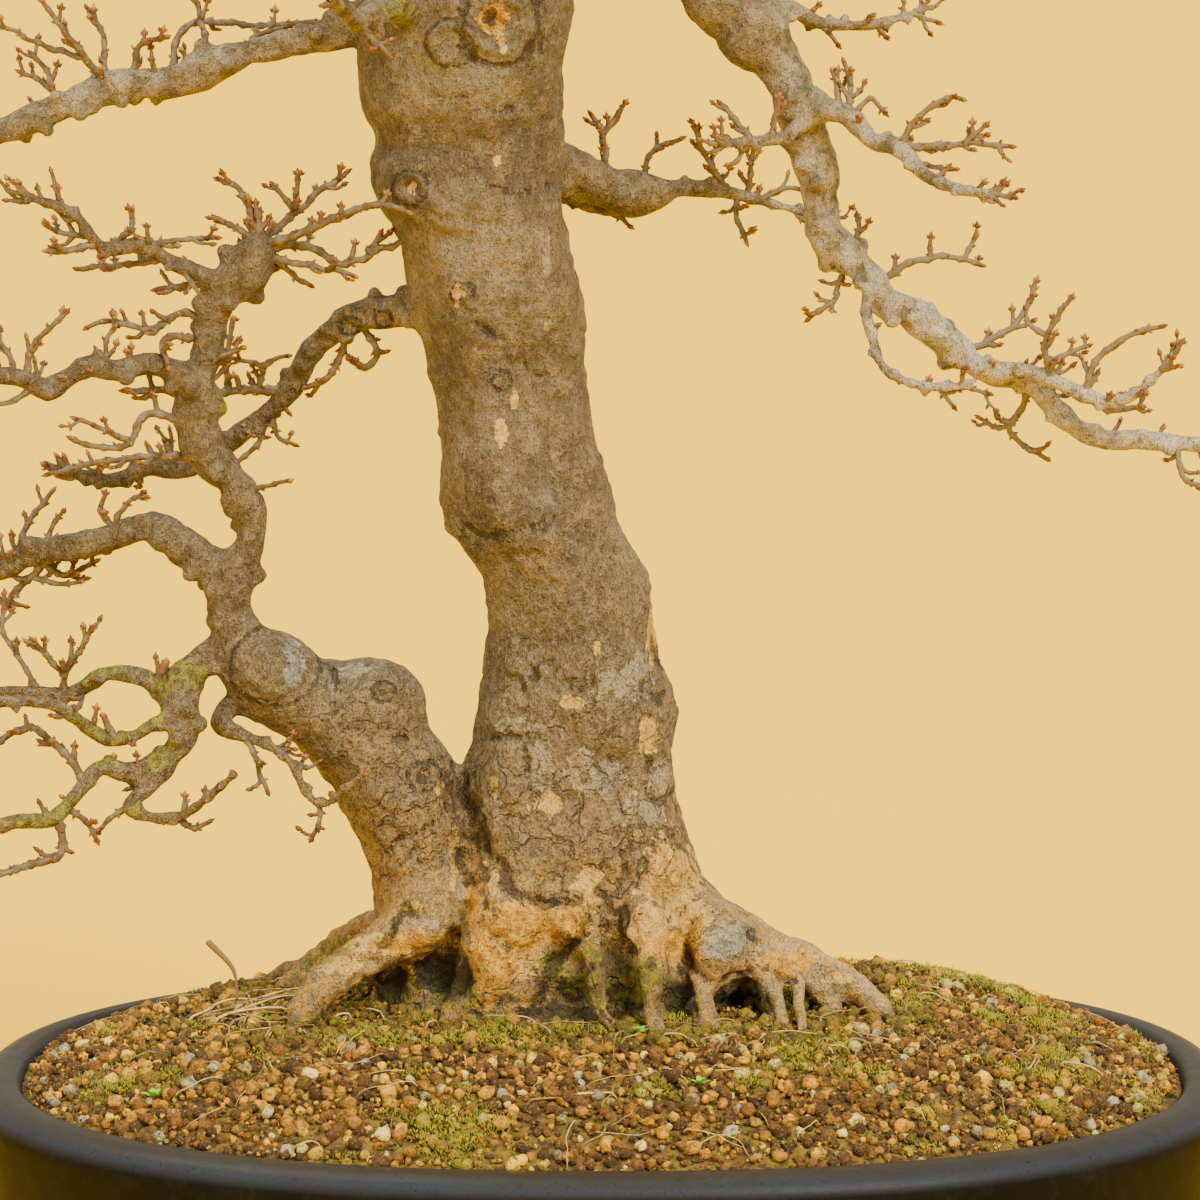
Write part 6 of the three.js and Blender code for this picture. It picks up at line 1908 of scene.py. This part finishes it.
def bark_paint():
    """Grey-brown bark: patches of tone, plates at the foot, fissures, specks, and its marks."""
    paint = Paint("bark", 0.85)
    radius, x, height = paint.mark("radius"), paint.axis(0), paint.axis(2)
    patches, hues, mottles = paint.noise(38, 3), paint.noise(15, 3, rough=0.6), paint.noise(10, 4, rough=0.65)
    blots, fissures = paint.noise(4.5, 3, rough=0.7), paint.noise(3, 3, (1, 1, 0.3), 0.7)
    specks, dust = paint.noise(2.3, 3, (1, 1, 0.7), 0.72), paint.noise(0.9, 2, rough=0.7)

    # Thick wood has the trunk's tones and thin wood the limbs', paler to the right and far left.
    old = paint.fit(radius, 9, 22)
    young = paint.fit(old, 0, 1, 1, 0)
    # The tint mark brings in painted light and shade as well as tone.
    tone = paint.plus(paint.fit(patches, 0.3, 0.7), paint.times(paint.mark("tint"), 0.6))
    trunk = paint.tones(tone, BARK, (0.18, "shade"), (0.5, "brown"), (0.82, "grey"))
    limb = paint.tones(mottles, LIMB, (0.36, "olive"), (0.5, "brown"), (0.62, "grey"))
    pale = paint.tones(mottles, LIMB, (0.34, "grey"), (0.46, "pale"), (0.66, "silver"))
    right = paint.times(paint.fit(x, 0.02, 0.12), paint.fit(radius, 18, 10, 0, 0.9))
    right = paint.times(right, paint.fit(height, 0.5, 0.43, 0.5, 1))
    far_left = paint.times(paint.fit(x, -0.1, -0.2, 0, 0.6), paint.fit(height, 0.48, 0.54))
    side = paint.sums("MAXIMUM", right, far_left)
    colour = paint.blend(paint.times(side, young), paint.blend(old, limb, trunk), pale)
    colour = paint.layers(colour, BARK, [
        ("warm", 0.45, hues, 0.54, 0.68), ("cool", 0.45, hues, 0.46, 0.34),
        ("light", 0.46, mottles, 0.52, 0.66), ("dark", 0.46, mottles, 0.48, 0.34),
        ("foot", 0.5, height, 0.26, 0.15),
    ])
    left = paint.times(paint.fit(height, 0.5, 0.45), young)
    colour = paint.layers(colour, BARK, [("dark", 0.4, x, -0.1, -0.14)], left)

    # Plates at the foot
    edge, value = paint.plates(17, 1.3)
    flaky = paint.times(paint.fit(height, 0.31, 0.2), paint.fit(patches, 0.4, 0.52, 0.35, 1), old)
    tones = paint.tones(value, BARK, (0, "shade"), (0.3, "brown"), (0.6, "cool"), (0.85, "warm"))
    colour = paint.blend(paint.times(flaky, 0.6), colour, tones)
    seam = paint.times(paint.fit(edge, 0.05, 0), flaky, paint.fit(mottles, 0.44, 0.6))

    # Specks, weaker on pale limbs and on the upper trunk
    rough = paint.times(paint.fit(side, 0, 1, 1, 0.6), paint.fit(height, 0.27, 0.36, 1, 0.6))
    colour = paint.layers(colour, BARK, [
        ("dark", 0.45, blots, 0.46, 0.33), ("dark", 0.4, fissures, 0.45, 0.33),
        ("dark", 0.45, specks, 0.48, 0.34), ("dark", 0.4, dust, 0.5, 0.34),
        ("fleck", 0.3, blots, 0.55, 0.7), ("fleck", 0.35, specks, 0.54, 0.67),
        ("fleck", 0.3, dust, 0.54, 0.7),
    ], rough)
    colour = paint.layers(colour, BARK, [("gold", 0.6, blots, 0.44, 0.58)], paint.fit(height, 0.22, 0.13))
    colour = lay_marks(paint, colour, blots, specks)
    # Darker towards the soil: damp bark and painted shade where the wood meets the soil.
    colour = paint.layers(colour, BARK, [("damp_and_shade", 0.75, mottles, 0.46, 0.56)], paint.fit(height, 0.14, 0.108))
    colour = paint.layers(
        colour, BARK, [("dark", 0.4, specks, 0.46, 0.34), ("dark", 0.4, dust, 0.48, 0.34)], rough
    )

    # Cracks
    split = paint.plus(paint.mark("crack"), paint.fit(specks, 0.35, 0.65, 0.2, -0.2))
    split = paint.fit(split, 0.42, 0.8)
    colour = paint.blend(paint.times(paint.sums("MAXIMUM", split, seam), 0.65), colour, BARK["crack"])
    plates = paint.times(flaky, paint.plus(value, paint.fit(edge, 0, 0.06)))
    paint.bump(
        (mottles, 2.8), (blots, 3.4), (fissures, 2.2), (specks, 1.7), (dust, 0.7), (plates, 1.4),
        (paint.fit(split, 0, 1, 1, 0), 1.2),
    )
    return paint.finish(colour, paint.fit(mottles, 0.3, 0.7, 0.95, 0.72))


def lay_marks(paint, colour, blots, specks):
    """Lays the marks on the bark, with frayed edges and dark rims."""
    frayed = paint.plus(paint.fit(blots, 0.3, 0.7, -0.4, 0.4), paint.fit(specks, 0.3, 0.7, -0.2, 0.2))
    for name, (low, high, strength, rim) in MARK_TONES.items():
        held = paint.mark(name)
        share = paint.plus(held, paint.times(frayed, paint.fit(held, 0, 0.3)))
        tone = paint.ramp(blots, [(0.38, low), (0.6, high)])
        colour = paint.blend(paint.times(paint.fit(share, 0.42, 0.62), strength), colour, tone)
        if rim:
            border = paint.times(paint.fit(share, 0.36, 0.44), paint.fit(share, 0.56, 0.48), rim)
            colour = paint.blend(border, colour, BARK["crack"])
    return colour


def twig_paint():
    """Pale grey-brown twigs that turn rust-brown towards their tips."""
    paint = Paint("twig", 0.8)
    young, blots, specks = paint.mark("young"), paint.noise(5, 4), paint.noise(1.2, 3)
    old = paint.blend(paint.fit(paint.axis(0), 0.02, 0.12), TWIG["brown"], TWIG["pale"])
    old = paint.blend(paint.fit(blots, 0.42, 0.62), old, TWIG["grey"])
    share = paint.fit(paint.plus(young, paint.fit(blots, 0.3, 0.7, -0.35, 0.35)), 0.5, 0.95)
    colour = paint.blend(share, old, TWIG["rust"])
    colour = paint.layers(colour, BARK, [("crack", 0.6, specks, 0.42, 0.3)])
    paint.bump((blots, 0.5), (specks, 0.35))
    return paint.finish(colour, paint.fit(blots, 0.3, 0.7, 0.9, 0.65))


def bud_paint():
    """Rust-brown bud scales, banded along the bud."""
    paint = Paint("bud", 0.6)
    share, tone, specks = paint.mark("share"), paint.mark("tone"), paint.noise(0.7, 3)
    colour = paint.tones(tone, BUD, (0, "dark"), (0.5, "rust"), (1, "pale"))
    band = paint.sums("PINGPONG", paint.plus(share, paint.fit(specks, 0.3, 0.7, 0, 0.12)), 0.13)
    colour = paint.layers(colour, BUD, [("edge", 0.6, band, 0.03, 0.0), ("pale", 0.5, specks, 0.55, 0.7)])
    paint.bump((band, 0.6), (specks, 0.2))
    return paint.finish(colour, paint.fit(specks, 0.3, 0.7, 0.45, 0.75))


def grain_paint():
    """Fired clay and pumice grains of many colours, some of them mossy."""
    paint = Paint("grain", 0.95)
    kind, tone, moss = paint.mark("kind"), paint.mark("tone"), paint.mark("moss")
    pores, blots, crust = paint.noise(1.1, 3, rough=0.7), paint.noise(2.6, 3, rough=0.65), paint.noise(9, 3)
    colour = paint.ramp(kind, GRAIN_KINDS, steps=True)
    colour = paint.blend(1.0, colour, paint.ramp(tone, GRAIN_SHADES), "MULTIPLY")
    colour = paint.layers(colour, SOIL, [
        ("dark", 0.5, crust, 0.5, 0.36), ("dark", 0.75, blots, 0.52, 0.36),
        ("dark", 0.75, pores, 0.46, 0.32), ("cream", 0.35, pores, 0.56, 0.7),
    ])
    colour = paint.layers(colour, SOIL, [("moss", 0.9, blots, 0.36, 0.54)], moss)
    paint.bump((blots, 1.6), (pores, 0.8))
    return paint.finish(colour)


def bed_paint():
    """Damp fines between the grains, green where moss spreads."""
    paint = Paint("bed", 0.95)
    blots, fines, wide = paint.noise(5, 5), paint.noise(1.3, 4), paint.noise(24, 4)
    colour = paint.tones(blots, SOIL, (0.4, "dark"), (0.62, "brown"))
    green = paint.plus(wide, paint.fit(blots, 0.3, 0.7, -0.12, 0.12))
    colour = paint.layers(colour, SOIL, [("tan", 0.3, fines, 0.6, 0.7), ("moss", 0.3, green, 0.48, 0.6)])
    paint.bump((blots, 2), (fines, 0.8))
    return paint.finish(colour)


def moss_paint():
    """Moss leaves, yellow-green at their tips."""
    paint = Paint("moss", 0.8)
    share, tone, patches = paint.mark("share"), paint.mark("tone"), paint.noise(9, 4)
    colour = paint.tones(share, MOSS, (0, "deep"), (0.6, "green"), (1, "tip"))
    colour = paint.layers(colour, MOSS, [
        ("gold", 0.7, patches, 0.48, 0.62), ("dry", 0.7, tone, 0.8, 1), ("fresh", 0.8, tone, -0.2, -0.8),
    ])
    paint.bump((paint.noise(0.6, 2), 0.2))
    return paint.finish(colour)


def fibre_paint():
    """Dry fibres of many tones, for the rootlets and the dead stem."""
    paint = Paint("fibre", 0.8)
    share = paint.plus(paint.fit(paint.noise(3, 4), 0.3, 0.7, -0.4, 0.4), paint.mark("tone"))
    paint.bump((paint.noise(0.8, 3), 0.2))
    return paint.finish(paint.tones(share, FIBRE, (0, "low"), (1, "high")))


def pot_paint():
    """Dark unglazed clay, lighter and glossier along its lip, with a painted bluish highlight along the lip's
    outer edge.
    """
    paint = Paint("pot", 0.5)
    paint.shader.inputs["Specular IOR Level"].default_value = 0.07
    clouds, grit, dust = paint.noise(45, 5), paint.noise(1.4, 4), paint.noise(9, 6, rough=0.7)
    height = paint.axis(2)
    colour = paint.tones(clouds, POT, (0.35, "dark"), (0.65, "brown"))
    # The edge band is a painted highlight along the lip's outer rounding.
    colour = paint.layers(colour, POT, [
        ("edge", 0.8, height, 0.081, 0.0855), ("lip", 1, height, 0.086, 0.0895),
        ("dust", 0.35, dust, 0.5, 0.7), ("grit", 0.6, grit, 0.42, 0.28),
    ])
    paint.bump((clouds, 0.6), (dust, 0.15), (grit, 0.12))
    wall = paint.times(paint.fit(height, 0.0855, 0.081), 0.22)
    return paint.finish(colour, paint.plus(paint.fit(dust, 0.3, 0.7, 0.3, 0.4), wall))


def screen_paint():
    """Dark green moulded plastic with a fine grain."""
    paint = Paint("screen", 0.55)
    clouds, grain = paint.noise(12, 4), paint.noise(0.6, 3)
    paint.bump((grain, 0.08), (clouds, 0.2))
    colour = paint.tones(clouds, SCREEN, (0.3, "low"), (0.7, "high"))
    return paint.finish(colour, paint.fit(grain, 0.3, 0.7, 0.4, 0.65))


def wire_paint():
    """Dull aluminium wire with drawn lines."""
    paint = Paint("wire", 0.4)
    paint.shader.inputs["Metallic"].default_value = 1
    lines, blots = paint.noise(0.5, 3), paint.noise(4, 4)
    paint.bump((lines, 0.05), (blots, 0.1))
    colour = paint.tones(blots, WIRE, (0.3, "low"), (0.7, "high"))
    return paint.finish(colour, paint.fit(blots, 0.3, 0.7, 0.3, 0.5))


def floor_paint():
    """A pale plain surface."""
    paint = Paint("floor", 0.9)
    paint.shader.inputs["Specular IOR Level"].default_value = 0.0
    clouds = paint.noise(400, 1)
    paint.bump((clouds, 0.5))
    return paint.finish(paint.tones(clouds, FLOOR, (0.3, "low"), (0.7, "high")))


# The assembly

def build_wood(field):
    """The bark in three pieces that share their edges, and the twigs and buds on them."""
    points, faces, marks = wood_mesh(field)
    normals = normals_of(points, faces)
    paint = bark_paint()
    middle = points[faces].mean(axis=1)[:, 2]
    tops = [low for _, low in WOOD_PIECES[1:]] + [math.inf]
    pieces = []
    for (name, low), top in zip(WOOD_PIECES, tops):
        part = part_of(points, faces, marks, normals, (middle >= low) & (middle < top))
        pieces.append(build_piece(name, paint, "bark", *part))
    wood, buds = all_twigs()
    pieces.append(wood.build("twigs", twig_paint(), "bark"))
    pieces.append(buds.build("buds", bud_paint(), "bark"))
    for piece in pieces:
        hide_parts("tree")


def build_soil(field):
    """The soil's bed, its grains, and all that grows or lies on it."""
    pieces = [build_piece("soil_bed", bed_paint(), "soil", *bed())]
    paint = grain_paint()
    near, far = grains(field)
    pieces.append(near.build("grains_near", paint, "soil"))
    pieces.append(far.build("grains_far", paint, "soil"))
    pieces.append(crumbs(field).build("crumbs", paint, "soil", smooth=False))
    paint = moss_paint()
    pieces.append(moss_tufts(field).build("moss", paint, "soil"))
    pieces.append(sprouts().build("sprouts", paint, "soil"))
    threads = rootlets()
    dead_stem(threads)
    pieces.append(threads.build("rootlets", fibre_paint(), "soil"))
    for piece in pieces:
        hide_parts("soil")


def build_pot():
    """The pot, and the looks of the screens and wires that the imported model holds."""
    paint = pot_paint()
    for piece in (pot_body(paint), pot_feet(paint)):
        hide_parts("pot")
    looks = {"drain_screen": screen_paint(), "screen_wire": wire_paint()}
    for name, look in looks.items():
        for side in ("left", "right"):
            node = bpy.data.objects[f"{name}_{side}"]
            for slot in node.material_slots:
                slot.material = look


def build_studio():
    """A pale floor, soft lamps, and the photograph's view."""
    turns = 2 * math.pi * np.arange(FLOOR_SIDES) / FLOOR_SIDES
    points = FLOOR_REACH * np.column_stack([np.cos(turns), np.sin(turns), np.zeros(FLOOR_SIDES)])
    mesh = bpy.data.meshes.new("studio_floor")
    mesh.from_pydata(points.tolist(), [], [list(range(FLOOR_SIDES))])
    mesh.materials.append(floor_paint())
    floor = add_object("studio_floor", mesh)
    for name, kind, place, size, power, colour in LAMPS:
        light = bpy.data.lights.new(name, kind)
        if kind == "SUN":
            light.angle = size
        else:
            light.shape = "DISK"
            light.size = size
        light.energy = power
        light.color = colour
        lamp = add_object(name, light)
        lamp.location = place
        aim(lamp, Vector(LAMP_TARGET))
    world = bpy.data.worlds.new("studio")
    world.use_nodes = True
    sky = world.node_tree.nodes["Background"]
    sky.inputs["Color"].default_value = (*SKY_COLOUR, 1)
    sky.inputs["Strength"].default_value = SKY_POWER
    bpy.context.scene.world = world
    lens = bpy.data.cameras.new("camera")
    lens.sensor_width = SENSOR_WIDTH
    lens.lens = VIEW_LENS
    camera = add_object("camera", lens)
    camera.location = EYE * MM
    aim(camera, Vector((EYE[0], 0, AIM_HEIGHT)) * MM)
    bpy.context.scene.camera = camera


def aim(thing, target):
    """Turns a lamp or camera towards a point."""
    way = target - thing.location
    thing.rotation_euler = way.to_track_quat("-Z", "Y").to_euler()


wood = wood_field()
build_wood(wood)
build_soil(wood)
build_pot()
build_studio()
